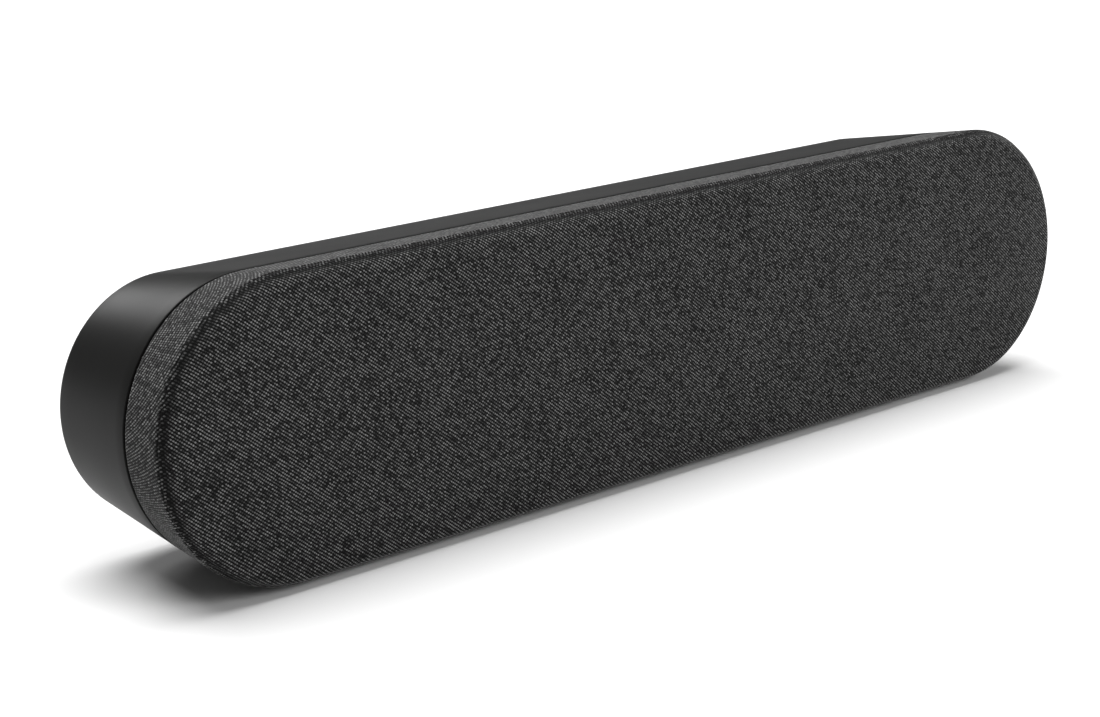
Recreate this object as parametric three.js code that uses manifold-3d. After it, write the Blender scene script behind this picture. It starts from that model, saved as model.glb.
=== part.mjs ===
// A short soundbar with a racetrack front: a cloth-covered grille, a tapered rear case, two full-range drivers,
// two tweeters, a central passive radiator, an amplifier board and a recessed socket bay.
// Millimetres, +Z up, +X along the bar, -Y towards the listener, with the origin on the table under the middle.
import * as THREE from "three";
import { mergeVertices } from "three/addons/utils/BufferGeometryUtils.js";
import Module from "manifold-3d";

const wasm = await Module();
wasm.setup();

// ---- Driving dimensions -------------------------------------------------------------------------------------
const WIDTH = 449; // the widest section, across the bar
const HEIGHT = 103;
const DEPTH = 80;
const TABLE_GAP = 1.5; // the rim's height above the table, set by the feet
const CROWN = 2.5; // how far the middle of the front stands out from the rim's edge
const RIM = 5.5; // radius of the front edge
const DRAFT = THREE.MathUtils.degToRad(8.1); // taper from the rim to the back
const REAR_EDGE = 4; // radius of the back edge
const WALL = 3.2;
const GAP = 0.3; // between touching pieces
const CLOTH = 1.2;
const FRAME_WALL = 1.6;
const SHADOW_GAP = 1.2; // dark groove between the cloth and the case

const AXIS_Z = TABLE_GAP + HEIGHT / 2; // height of the racetrack's centre line
const END_RADIUS = HEIGHT / 2;
const SPAN = WIDTH - HEIGHT; // length of the straight part
const FRONT = -DEPTH / 2;
const BACK = DEPTH / 2;
const CROWN_RADIUS = END_RADIUS - RIM;
const RIM_Y = FRONT + CROWN + RIM;
const CLOTH_END = -10.7; // the cloth's rear edge
const CASE_FRONT = CLOTH_END + SHADOW_GAP;
const SEAT_Y = -6.7; // the step in the case that the gasket sits on
const LIP = 47.2; // inner radius of the case's front lip

const PLATE_FRONT = -26; // the baffle's plate
const PLATE_BACK = -22.5;
const FLANGE_BACK = PLATE_FRONT - GAP; // every driver's flange rests on the plate
const FLANGE_FRONT = FLANGE_BACK - 2;

const WOOFER_X = 125;
const TWEETER_X = 187;
const STATUS_X = 75; // between the radiator and the right woofer
const RADIATOR_SPAN = 58; // length of its straight part
const POSTS = [-173, -75, 75, 173].flatMap((x) => [[x, 31], [x, -31]]);
const POST = { radius: 4, pilot: 1.9, pilotFront: 18, back: 32.7 };
const FOOT = { x: 125, length: 70, front: -8.7, back: 34, corner: 10 };

// Radii across, and depths along Y.
const SLOT = { pitch: 16, width: 11, reach: 38, each: 11 }; // grille slots; each counts those on one side
const BAFFLE = {
  front: 45,
  frontWall: 2.5,
  back: 43.8,
  backWall: 2.3,
  rim: 46.9,
  rimFront: -10.4,
  rimBack: -8.3,
};
const GASKET = { inner: 44.9, outer: 46.9, front: -8, back: -7 };
const BOSS = { radius: 5.5, front: 33 };
const SCREW = { tip: 1.3, shank: 1.6, head: 3.3, crown: 2.2, front: 20, neck: 37.9, brim: 38.7, top: 39.7 };
const COUNTERBORE = { radius: 3.6, floor: 37.6 };
const INSERT_X = 110;
const INSERT = { inner: 3.1, outer: 5.2, front: 28.8, back: 39.9 };
const INSERT_BOSS = { radius: 8.5, front: 27, hole: 5.5, holeFront: 28.5 };

const ROLL = { lip: 1.4, thick: 0.6 }; // the flat inner lip and the thickness of every surround
const WOOFER = { hole: 35.5, flange: 39.5, opening: 33.2, drum: 35, drumBack: -6, cone: 25.2, coneBack: -13.2 };
const PLATE = { inner: 11.6, outer: 26, front: -5.7, back: -1.7 };
const MAGNET = { inner: 14, outer: 29, front: PLATE.back + GAP, back: 10 };
const POLE = { radius: 9.4, base: 27, front: 10.3, edge: 13.5, bevel: 2, back: 14.5 };
const COIL = { inner: 10, tube: 10.6, winding: 11, front: -14.4, windingFront: -6.5, back: 2 };
const SPIDER = { inner: 11.1, outer: 26.5, waves: 3, back: -10.6, swing: 1.1, thick: 0.6 };
const TWEETER = { hole: 12.6, flange: 15, cup: 12, opening: 10.2, floor: -22, back: -12 };
const RADIATOR = { hole: 32, flange: 36, outer: 31.5, opening: 29.5, back: -16, plate: 23.4, plateBack: -26 };
const WEIGHT = { radius: 14, front: -25.7, back: -21.7 };

const BAY = { width: 145, height: 29, floor: 26, floorWall: 2, wall: 1.6 };
const BOARD = { width: 136, height: 54, front: 8.4, back: 10 };
const PORT_FRONT = BOARD.back + GAP;
const PORT_MOUTH = BAY.floor + 0.3;
const BUTTON = {
  cap: 3.5,
  edge: 0.4,
  flange: 4.4,
  stem: 2,
  front: 13.9,
  flangeFront: 22,
  flangeBack: 23.4,
  back: 26.9,
};
const BUTTONS = { power_button: 62, source_button: 47 }; // X of each
const SWITCH = { half: 3, front: 9.5, back: 13 };
const SINK = { x: -8, width: 39.4, half: 18, front: -6, base: 5.1, fins: 8, pitch: 5.4, fin: 1.6 };
const CAPACITOR = { x: 47, radius: 5, front: -8 };
const CAPACITORS = { capacitor_upper: 13, capacitor_lower: 1 }; // Z of each
const TRAY = { flange: 4, flangeThick: 1.6, standoff: 2.5, standoffX: 66, standoffZ: 11 };
const JACK = { pin: 1.1, hole: 3.2, floor: 15, pinSetBack: 1.5 };
const SOCKET = { depth: 10, opticalDepth: 11, tongueSetBack: 2, rootDepth: 11 };
const LEAD_RADIUS = 0.9;

const END_STEPS = 14; // facets in each half-round end
const ROUND_STEPS = 16; // facets round a driver
const SMALL_STEPS = 12; // facets round a screw or a post

// ---- Materials ----------------------------------------------------------------------------------------------
function finish(color, roughness, metalness = 0) {
  return new THREE.MeshStandardMaterial({ color, roughness, metalness });
}

const MATERIALS = {
  cloth: finish(0x2f2f30, 0.95),
  caseBlack: finish(0x2b2c2c, 0.55),
  innerBlack: finish(0x18181a, 0.7),
  rubber: finish(0x151516, 0.9),
  paper: finish(0x1f2022, 0.85),
  steel: finish(0x8f9194, 0.35, 1),
  ferrite: finish(0x2a2b2d, 0.6),
  dippedCloth: finish(0xa07a3c, 0.8),
  brass: finish(0xb08d4a, 0.35, 1),
  aluminium: finish(0xa7a9ac, 0.4, 1),
  circuit: finish(0x1d4a33, 0.5),
  copper: finish(0xa4623a, 0.4, 1),
  clear: finish(0xdfe3e6, 0.2),
};

// ---- Shape helpers ------------------------------------------------------------------------------------------
const SIDES = { left: -1, right: 1 };

function bothSides(build) {
  return Object.entries(SIDES).map(([side, sign]) => build(side, sign));
}

// The case's outer radius at a depth behind the rim.
function caseRadius(y) {
  const tangentRadius = CROWN_RADIUS + RIM * Math.cos(DRAFT);
  const tangentY = RIM_Y + RIM * Math.sin(DRAFT);
  return tangentRadius - (y - tangentY) * Math.tan(DRAFT);
}

function arc(centreR, centreY, radius, from, to, steps) {
  return Array.from({ length: steps + 1 }, (_, i) => {
    const a = from + ((to - from) * i) / steps;
    return [centreR + radius * Math.cos(a), centreY + radius * Math.sin(a)];
  });
}

// The front's outline from the centre line out to a depth of end, moved inwards by inset.
function frontOutline(inset, end) {
  const crown = [0, 0.5, 1].map((t) => [CROWN_RADIUS * t, FRONT + inset + CROWN * t * t]);
  const rim = arc(CROWN_RADIUS, RIM_Y, RIM - inset, -Math.PI / 2, 0, 4);
  const tangent = [CROWN_RADIUS + (RIM - inset) * Math.cos(DRAFT), RIM_Y + (RIM - inset) * Math.sin(DRAFT)];
  return [...crown, ...rim.slice(1), tangent, [caseRadius(end) - inset, end]];
}

// Vector2 points of a radius-and-depth profile, in the order that makes faces point outwards.
function profilePoints(profile) {
  const points = profile.map(([r, y]) => new THREE.Vector2(r, y));
  return THREE.ShapeUtils.area(points) < 0 ? points.reverse() : points;
}

// The rectangular profile of a ring between two radii and two depths.
function band({ inner, outer, front, back }) {
  return [[inner, front], [outer, front], [outer, back], [inner, back]];
}

// A ring's profile joined back to its first point.
function closed(profile) {
  const points = profilePoints(profile);
  return [...points, points[0].clone()];
}

function turned(profile, steps = ROUND_STEPS) {
  const onAxis = profile[0][0] === 0 && profile.at(-1)[0] === 0;
  return new THREE.LatheGeometry(onAxis ? profilePoints(profile) : closed(profile), steps);
}

// A turned shape whose two halves are pulled apart along X by span, with straight walls between them.
function racetrack(profile, span = SPAN, steps = END_STEPS) {
  const onAxis = profile[0][0] === 0 && profile.at(-1)[0] === 0;
  const points = onAxis ? profilePoints(profile) : closed(profile);
  const halves = [0, Math.PI].map((start) => new THREE.LatheGeometry(points, steps, start, Math.PI));
  halves[0].translate(span / 2, 0, 0);
  halves[1].translate(-span / 2, 0, 0);
  const rows = points.length;
  const columns = 2 * (steps + 1);
  const index = [];
  for (let i = 0; i < columns; i++) {
    for (let j = 0; j < rows - 1; j++) {
      const here = i * rows + j;
      const next = ((i + 1) % columns) * rows + j;
      index.push(here, next, here + 1, next + 1, here + 1, next);
    }
  }
  const position = halves.flatMap((half) => [...half.getAttribute("position").array]);
  return new THREE.BufferGeometry()
    .setAttribute("position", new THREE.Float32BufferAttribute(position, 3))
    .setIndex(index);
}

// A box from its low to its high corner.
function block([x0, y0, z0], [x1, y1, z1]) {
  return new THREE.BoxGeometry(x1 - x0, y1 - y0, z1 - z0).translate(
    (x0 + x1) / 2,
    (y0 + y1) / 2,
    (z0 + z1) / 2,
  );
}

// A cylinder along Y between two depths.
function rod(radius, y0, y1, x = 0, z = 0, steps = SMALL_STEPS) {
  return new THREE.CylinderGeometry(radius, radius, y1 - y0, steps).translate(x, (y0 + y1) / 2, z);
}

function solidOf(geometry) {
  const bare = new THREE.BufferGeometry().setAttribute("position", geometry.getAttribute("position"));
  bare.setIndex(geometry.index);
  const merged = mergeVertices(bare, 1e-4);
  const corners = merged.index.array;
  const kept = [];
  for (let i = 0; i < corners.length; i += 3) {
    const [a, b, c] = corners.slice(i, i + 3);
    if (a !== b && b !== c && a !== c) kept.push(a, b, c);
  }
  return new wasm.Manifold(
    new wasm.Mesh({
      numProp: 3,
      vertProperties: merged.attributes.position.array,
      triVerts: new Uint32Array(kept),
    }),
  );
}

function geometryOf(solid) {
  const mesh = solid.getMesh();
  return new THREE.BufferGeometry()
    .setAttribute("position", new THREE.BufferAttribute(mesh.vertProperties, 3))
    .setIndex(new THREE.BufferAttribute(mesh.triVerts, 1));
}

// A base shape with some shapes joined to it and others cut out of it, in that order.
function carved(base, joined, cut) {
  const whole = joined.reduce((solid, shape) => solid.add(solidOf(shape)), solidOf(base));
  return geometryOf(cut.reduce((solid, shape) => solid.subtract(solidOf(shape)), whole));
}

const bar = new THREE.Group();
const centre = new THREE.Group(); // its origin is on the racetrack's centre line
centre.position.z = AXIS_Z;
bar.add(centre);

function add(name, geometry, material, parent = centre) {
  const mesh = new THREE.Mesh(geometry, material);
  mesh.name = name;
  parent.add(mesh);
  return mesh;
}

// ---- Grille -------------------------------------------------------------------------------------------------
function addGrille() {
  const outer = frontOutline(0, CLOTH_END);
  const inner = frontOutline(CLOTH, CLOTH_END).reverse();
  add("grille_fabric", racetrack([...outer, ...inner]), MATERIALS.cloth);

  const frameInset = CLOTH + GAP;
  const frameEnd = CLOTH_END - GAP;
  const frameOuter = frontOutline(frameInset, frameEnd);
  const frameInner = frontOutline(frameInset + FRAME_WALL, frameEnd).reverse();
  const slots = [];
  for (let i = -SLOT.each; i <= SLOT.each; i++) {
    const [left, right] = [i * SLOT.pitch - SLOT.width / 2, i * SLOT.pitch + SLOT.width / 2];
    const past = Math.max(0, -left - SPAN / 2, right - SPAN / 2); // how far the slot reaches into the round end
    const half = Math.sqrt(SLOT.reach ** 2 - past ** 2);
    slots.push(block([left, FRONT - 1, -half], [right, RIM_Y, half]));
  }
  add("grille_frame", carved(racetrack([...frameOuter, ...frameInner]), [], slots), MATERIALS.innerBlack);
}

// ---- Baffle and gasket --------------------------------------------------------------------------------------
function addBaffle() {
  const profile = [
    [0, PLATE_FRONT],
    [BAFFLE.front, PLATE_FRONT],
    [BAFFLE.back, BAFFLE.rimFront],
    [BAFFLE.rim, BAFFLE.rimFront],
    [BAFFLE.rim, BAFFLE.rimBack],
    [BAFFLE.back - BAFFLE.backWall, BAFFLE.rimBack],
    [BAFFLE.front - BAFFLE.frontWall, PLATE_BACK],
    [0, PLATE_BACK],
  ];
  const [ahead, behind] = [PLATE_FRONT - 1, PLATE_BACK + 1];
  const posts = POSTS.map(([x, z]) => rod(POST.radius, PLATE_BACK - 1, POST.back, x, z));
  const holes = [
    ...bothSides((_, sign) => rod(WOOFER.hole, ahead, behind, sign * WOOFER_X, 0, ROUND_STEPS)),
    ...bothSides((_, sign) => rod(TWEETER.hole, ahead, behind, sign * TWEETER_X, 0, ROUND_STEPS)),
    racetrack([[0, ahead], [RADIATOR.hole, ahead], [RADIATOR.hole, behind], [0, behind]], RADIATOR_SPAN),
    ...POSTS.map(([x, z]) => rod(POST.pilot, POST.pilotFront, POST.back + 1, x, z, 8)),
  ];
  add("front_baffle", carved(racetrack(profile), posts, holes), MATERIALS.innerBlack);
  add("baffle_gasket", racetrack(band(GASKET)), MATERIALS.rubber);
}

// ---- Rear case ----------------------------------------------------------------------------------------------
function insertRods(radius, front, back) {
  return bothSides((_, sign) => rod(radius, front, back, sign * INSERT_X, 0, ROUND_STEPS));
}

function addCase() {
  const edgeRadius = caseRadius(BACK - REAR_EDGE + REAR_EDGE * Math.sin(DRAFT)) - REAR_EDGE * Math.cos(DRAFT);
  const floor = BACK - WALL;
  const profile = [
    [0, floor],
    [edgeRadius - 2.5, floor],
    [caseRadius(floor - 2.5) - WALL, floor - 2.5],
    [caseRadius(SEAT_Y) - WALL, SEAT_Y],
    [LIP, SEAT_Y],
    [LIP, CASE_FRONT],
    [caseRadius(CASE_FRONT), CASE_FRONT],
    ...arc(edgeRadius, BACK - REAR_EDGE, REAR_EDGE, DRAFT, Math.PI / 2, 4),
    [0, BACK],
  ];
  const bosses = [
    ...POSTS.map(([x, z]) => rod(BOSS.radius, BOSS.front, floor + 1, x, z)),
    ...insertRods(INSERT_BOSS.radius, INSERT_BOSS.front, floor + 1),
  ];
  const cuts = [
    ...POSTS.map(([x, z]) => rod(POST.pilot, BOSS.front - 1, BACK, x, z, 8)),
    ...POSTS.map(([x, z]) => rod(COUNTERBORE.radius, COUNTERBORE.floor, BACK + 1, x, z)),
    ...insertRods(INSERT_BOSS.hole, INSERT_BOSS.holeFront, BACK + 1),
    block([-BAY.width / 2, floor - 1, -BAY.height / 2], [BAY.width / 2, BACK + 1, BAY.height / 2]),
  ];
  add("rear_housing", carved(racetrack(profile), bosses, cuts), MATERIALS.caseBlack);
}

function addScrews() {
  const profile = [
    [0, SCREW.front],
    [SCREW.tip, SCREW.front],
    [SCREW.shank, SCREW.front + 1],
    [SCREW.shank, SCREW.neck],
    [SCREW.head, SCREW.neck],
    [SCREW.head, SCREW.brim],
    [SCREW.crown, SCREW.top],
    [0, SCREW.top],
  ];
  POSTS.forEach(([x, z], i) => {
    const screw = add(`housing_screw_${i + 1}`, turned(profile, SMALL_STEPS), MATERIALS.steel);
    screw.position.set(x, 0, z);
  });
}

function addInserts() {
  const sleeve = turned(band(INSERT));
  bothSides((side, sign) => {
    add(`wall_insert_${side}`, sleeve, MATERIALS.brass).position.x = sign * INSERT_X;
  });
}

// Wedges that fill the space between the tapered case and the table.
function addFeet() {
  const top = (y) => AXIS_Z - caseRadius(y) - GAP;
  const side = new THREE.Shape([
    new THREE.Vector2(FOOT.front, 0),
    new THREE.Vector2(FOOT.back, 0),
    new THREE.Vector2(FOOT.back, top(FOOT.back)),
    new THREE.Vector2(FOOT.front, top(FOOT.front)),
  ]);
  const wedge = new THREE.ExtrudeGeometry(side, { depth: FOOT.length, bevelEnabled: false, steps: 1 });
  // The outline's x is the bar's Y and its y is the bar's Z, so the wedge is extruded along the bar's X.
  const turn = new THREE.Matrix4().makeBasis(
    new THREE.Vector3(0, 1, 0),
    new THREE.Vector3(0, 0, 1),
    new THREE.Vector3(1, 0, 0),
  );
  wedge.applyMatrix4(turn).translate(-FOOT.length / 2, 0, 0);

  const [halfX, halfY] = [FOOT.length / 2, (FOOT.back - FOOT.front) / 2];
  const plan = new THREE.Shape();
  const [cornerX, cornerY] = [halfX - FOOT.corner, halfY - FOOT.corner];
  const corners = [[1, 1, 0], [-1, 1, 90], [-1, -1, 180], [1, -1, 270]];
  for (const [sx, sy, turnDegrees] of corners) {
    const start = THREE.MathUtils.degToRad(turnDegrees);
    plan.absarc(sx * cornerX, sy * cornerY, FOOT.corner, start, start + Math.PI / 2);
  }
  const column = new THREE.ExtrudeGeometry(plan, { depth: 20, bevelEnabled: false, curveSegments: 4 });
  column.translate(0, (FOOT.front + FOOT.back) / 2, -1);

  const pad = geometryOf(solidOf(wedge).intersect(solidOf(column)));
  bothSides((side, sign) => {
    add(`foot_${side}`, pad, MATERIALS.rubber, bar).position.x = sign * FOOT.x;
  });
}

// ---- Drivers ------------------------------------------------------------------------------------------------
// A half-roll surround: flat lips at the inner and outer radius, and a roll that bulges forwards.
function surroundProfile(inner, outer, outerLip) {
  const innerLip = inner - ROLL.lip;
  const back = FLANGE_FRONT - GAP;
  const front = back - ROLL.thick;
  const middle = (inner + outer) / 2;
  const roll = (outer - inner) / 2;
  return [
    [innerLip, back],
    [innerLip, front],
    ...arc(middle, front, roll, Math.PI, 2 * Math.PI, 5),
    [outerLip, front],
    [outerLip, back],
    ...arc(middle, back, roll - ROLL.thick, 2 * Math.PI, Math.PI, 4),
  ];
}

// The spider's zigzag waves.
function spiderProfile() {
  const steps = SPIDER.waves * 2;
  const step = (SPIDER.outer - SPIDER.inner) / steps;
  const crest = (i) => (i % 2 ? SPIDER.back - SPIDER.swing : SPIDER.back);
  const front = Array.from({ length: steps + 1 }, (_, i) => [SPIDER.inner + step * i, crest(i)]);
  return [...front, ...front.map(([r, y]) => [r, y + SPIDER.thick]).reverse()];
}

// A drum with a front flange, a back wall and a step in it for the spider's edge.
function basketGeometry() {
  const floor = WOOFER.drumBack - 2;
  const drum = turned([
    [WOOFER.opening, FLANGE_FRONT],
    [WOOFER.flange, FLANGE_FRONT],
    [WOOFER.flange, FLANGE_BACK],
    [WOOFER.drum, FLANGE_BACK],
    [WOOFER.drum, WOOFER.drumBack],
    [15.5, WOOFER.drumBack],
    [15.5, floor],
    [SPIDER.outer - 3, floor],
    [SPIDER.outer - 3, floor - 1.7],
    [SPIDER.outer + 0.5, floor - 1.7],
    [SPIDER.outer + 0.5, floor],
    [WOOFER.opening, floor],
  ]);
  const windows = [Math.PI / 4, (3 * Math.PI) / 4].map((angle) =>
    block([-50, -19.5, -9], [50, -10.5, 9]).rotateY(angle),
  );
  return carved(drum, [], windows);
}

function coneProfile() {
  const front = FLANGE_FRONT;
  const { cone: radius, coneBack: back } = WOOFER;
  const neck = COIL.tube + GAP;
  return [[radius, front], [radius, front + 0.9], [neck + 0.5, back], [neck, back], [neck, back - 1.2]];
}

function dustCapProfile() {
  const front = [[0, -19.6], [4.5, -19.1], [8.3, -17.9], [10.6, -16.3]];
  return [...front, [10.3, -15.8], [0, -18.9]];
}

function coilProfile() {
  return [
    [COIL.inner, COIL.front],
    [COIL.tube, COIL.front],
    [COIL.tube, COIL.windingFront],
    [COIL.winding, COIL.windingFront],
    [COIL.winding, COIL.back],
    [COIL.inner, COIL.back],
  ];
}

function yokeProfile() {
  return [
    [0, PLATE.front],
    [POLE.radius, PLATE.front],
    [POLE.radius, POLE.front],
    [POLE.base, POLE.front],
    [POLE.base, POLE.edge],
    [POLE.base - POLE.bevel, POLE.back],
    [0, POLE.back],
  ];
}

function driverGroup(x) {
  const driver = new THREE.Group();
  driver.position.x = x;
  centre.add(driver);
  return driver;
}

function addWoofer(side, sign) {
  const driver = driverGroup(sign * WOOFER_X);
  const part = (name, profile, material) => add(`woofer_${side}_${name}`, turned(profile), material, driver);
  add(`woofer_${side}_basket`, basketGeometry(), MATERIALS.innerBlack, driver);
  part("surround", surroundProfile(25.6, 31.2, WOOFER.opening - 0.2), MATERIALS.rubber);
  part("cone", coneProfile(), MATERIALS.paper);
  part("dust_cap", dustCapProfile(), MATERIALS.paper);
  part("voice_coil", coilProfile(), MATERIALS.copper);
  part("spider", spiderProfile(), MATERIALS.dippedCloth);
  part("top_plate", band(PLATE), MATERIALS.steel);
  part("magnet", band(MAGNET), MATERIALS.ferrite);
  part("yoke", yokeProfile(), MATERIALS.steel);
}

function tweeterBodyProfile() {
  return [
    [0, TWEETER.floor],
    [TWEETER.opening, TWEETER.floor],
    [TWEETER.opening, FLANGE_FRONT],
    [TWEETER.flange, FLANGE_FRONT],
    [TWEETER.flange, FLANGE_BACK],
    [TWEETER.cup, FLANGE_BACK],
    [TWEETER.cup, TWEETER.back],
    [0, TWEETER.back],
  ];
}

// A dome with a flat rim that stands clear of the body's wall.
function domeProfile() {
  const rim = TWEETER.opening - GAP;
  const front = [[0, -29.6], [3.4, -29.2], [6.2, -28], [7.9, -26.2], [rim, -26.2]];
  return [...front, [rim, -25.6], [7.4, -25.6], [5.7, -27.5], [0, -29]];
}

function addTweeter(side, sign) {
  const driver = driverGroup(sign * TWEETER_X);
  add(`tweeter_${side}_body`, turned(tweeterBodyProfile()), MATERIALS.innerBlack, driver);
  add(`tweeter_${side}_dome`, turned(domeProfile()), MATERIALS.paper, driver);
}

function addRadiator() {
  const oval = (profile) => racetrack(profile, RADIATOR_SPAN, 10);
  const frame = [
    [RADIATOR.opening, FLANGE_FRONT],
    [RADIATOR.flange, FLANGE_FRONT],
    [RADIATOR.flange, FLANGE_BACK],
    [RADIATOR.outer, FLANGE_BACK],
    [RADIATOR.outer, RADIATOR.back],
    [RADIATOR.opening, RADIATOR.back],
  ];
  add("radiator_frame", oval(frame), MATERIALS.innerBlack);
  add("radiator_surround", oval(surroundProfile(23.4, 29, RADIATOR.outer - 0.5)), MATERIALS.rubber);
  const plate = band({ inner: 0, outer: RADIATOR.plate, front: FLANGE_FRONT, back: RADIATOR.plateBack });
  add("radiator_diaphragm", oval(plate), MATERIALS.aluminium);
  add("radiator_weight", rod(WEIGHT.radius, WEIGHT.front, WEIGHT.back, 0, 0, ROUND_STEPS), MATERIALS.steel);
}

// ---- Electronics --------------------------------------------------------------------------------------------
function addBoard() {
  const [halfWidth, halfHeight] = [BOARD.width / 2, BOARD.height / 2];
  const board = block([-halfWidth, BOARD.front, -halfHeight], [halfWidth, BOARD.back, halfHeight]);
  const switches = Object.values(BUTTONS).map((x) =>
    block([x - SWITCH.half, SWITCH.front, -SWITCH.half], [x + SWITCH.half, SWITCH.back, SWITCH.half]),
  );
  const processor = block([-24, 7, -6], [-12, 9, 6]);
  const leadSockets = [block([-66, 3.4, -20], [-60, 9, -8]), block([60, 3.4, -20], [66, 9, -8])];
  add("main_board", carved(board, [...switches, processor, ...leadSockets], []), MATERIALS.circuit);
  add("radio_shield", block([-56, SINK.base, -4], [-32, BOARD.front - GAP, SINK.half]), MATERIALS.steel);
  for (const [name, z] of Object.entries(CAPACITORS)) {
    add(name, rod(CAPACITOR.radius, CAPACITOR.front, BOARD.front - GAP, CAPACITOR.x, z), MATERIALS.ferrite);
  }
}

function addHeatSink() {
  const fins = Array.from({ length: SINK.fins }, (_, i) => {
    const x = SINK.x + i * SINK.pitch;
    return block([x, SINK.front, -SINK.half], [x + SINK.fin, SINK.base + 0.9, SINK.half]);
  });
  const base = block([SINK.x, SINK.base, -SINK.half], [SINK.x + SINK.width, BOARD.front - GAP, SINK.half]);
  add("heat_sink", carved(base, fins, []), MATERIALS.aluminium);
}

// The socket bay's tray, closed at its floor and open to the back, with a flange behind the case's wall.
const PORTS = {
  dc_jack: { x: -58, width: 14, height: 14 },
  hdmi_port: { x: -34, width: 15.6, height: 6.4 },
  optical_port: { x: -8, width: 12, height: 11 },
  usb_port: { x: 17, width: 14.6, height: 7.2 },
};

function portBlock({ x, width, height }, grow, y0, y1) {
  return block([x - width / 2 - grow, y0, -height / 2 - grow], [x + width / 2 + grow, y1, height / 2 + grow]);
}

function addTray() {
  const [halfWidth, halfHeight] = [BAY.width / 2 - GAP, BAY.height / 2 - GAP];
  const bottom = BAY.floor - BAY.floorWall;
  const shell = block([-halfWidth, bottom, -halfHeight], [halfWidth, BACK - GAP, halfHeight]);
  const flangeBack = BACK - WALL - GAP;
  const [flangeX, flangeZ] = [halfWidth + TRAY.flange, halfHeight + TRAY.flange];
  const flange = block([-flangeX, flangeBack - TRAY.flangeThick, -flangeZ], [flangeX, flangeBack, flangeZ]);
  const standoffs = [-TRAY.standoffX, TRAY.standoffX].flatMap((x) =>
    [-TRAY.standoffZ, TRAY.standoffZ].map((z) => rod(TRAY.standoff, PORT_FRONT, bottom + 1, x, z, 8)),
  );
  const hollow = block(
    [-halfWidth + BAY.wall, BAY.floor, -halfHeight + BAY.wall],
    [halfWidth - BAY.wall, BACK + 1, halfHeight - BAY.wall],
  );
  const portHoles = Object.values(PORTS).map((port) => portBlock(port, GAP, bottom - 1, BAY.floor + 1));
  const buttonHoles = Object.values(BUTTONS).map((x) =>
    rod(BUTTON.cap + GAP, bottom - 1, BAY.floor + 1, x, 0, ROUND_STEPS),
  );
  add(
    "io_tray",
    carved(shell, [flange, ...standoffs], [hollow, ...portHoles, ...buttonHoles]),
    MATERIALS.innerBlack,
  );
}

// A socket's body with a pocket that is open at its mouth.
function socketSolid(port, width, height, depth) {
  const [left, right] = [port.x - width / 2, port.x + width / 2];
  const pocket = block([left, PORT_MOUTH - depth, -height / 2], [right, PORT_MOUTH + 1, height / 2]);
  return solidOf(portBlock(port, 0, PORT_FRONT, PORT_MOUTH)).subtract(solidOf(pocket));
}

// The same with a contact tongue left standing in the pocket.
function tonguedSocket(port, { width, height, tongueWidth, tongueHeight, rise }) {
  const [left, right] = [port.x - tongueWidth / 2, port.x + tongueWidth / 2];
  const tongue = block(
    [left, PORT_MOUTH - SOCKET.rootDepth, rise - tongueHeight / 2],
    [right, PORT_MOUTH - SOCKET.tongueSetBack, rise + tongueHeight / 2],
  );
  return geometryOf(socketSolid(port, width, height, SOCKET.depth).add(solidOf(tongue)));
}

function addPorts() {
  const { dc_jack: dc, hdmi_port: hdmi, optical_port: optical, usb_port: usb } = PORTS;
  const jackBody = portBlock(dc, 0, PORT_FRONT, PORT_MOUTH);
  const ring = { inner: JACK.pin, outer: JACK.hole, front: JACK.floor, back: PORT_MOUTH + 1 };
  const roundThePin = turned(band(ring)).translate(dc.x, 0, 0);
  const aboveThePin = rod(JACK.hole, PORT_MOUTH - JACK.pinSetBack, PORT_MOUTH + 1, dc.x, 0, ROUND_STEPS);
  add("dc_jack", carved(jackBody, [], [roundThePin, aboveThePin]), MATERIALS.innerBlack);

  const hdmiSizes = { width: 14, height: 4.8, tongueWidth: 11.5, tongueHeight: 1.6, rise: 0 };
  add("hdmi_port", tonguedSocket(hdmi, hdmiSizes), MATERIALS.steel);
  const usbSizes = { width: 12.6, height: 5.2, tongueWidth: 11, tongueHeight: 1.7, rise: 1 };
  add("usb_port", tonguedSocket(usb, usbSizes), MATERIALS.steel);
  const opticalSolid = socketSolid(optical, 6.6, 6.6, SOCKET.opticalDepth);
  add("optical_port", geometryOf(opticalSolid), MATERIALS.innerBlack);
}

function addButtons() {
  const profile = [
    [0, BUTTON.front],
    [BUTTON.stem, BUTTON.front],
    [BUTTON.stem, BUTTON.flangeFront],
    [BUTTON.flange, BUTTON.flangeFront],
    [BUTTON.flange, BUTTON.flangeBack],
    [BUTTON.cap, BUTTON.flangeBack],
    [BUTTON.cap, BUTTON.back - BUTTON.edge],
    [BUTTON.cap - BUTTON.edge, BUTTON.back],
    [0, BUTTON.back],
  ];
  for (const [name, x] of Object.entries(BUTTONS)) {
    add(name, turned(profile), MATERIALS.caseBlack).position.x = x;
  }
}

function addStatusLight() {
  const board = block([STATUS_X - 6, -27.5, -14], [STATUS_X + 6, FLANGE_BACK, 14]);
  const light = block([STATUS_X - 1.6, -29, -1.6], [STATUS_X + 1.6, -27, 1.6]);
  const receiver = block([STATUS_X - 2.5, -30, 5], [STATUS_X + 2.5, -27, 11]);
  add("status_board", carved(board, [light, receiver], []), MATERIALS.circuit);
  add("light_pipe", rod(1.5, -36.5, -29.3, STATUS_X, 0, 10), MATERIALS.clear);
}

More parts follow.
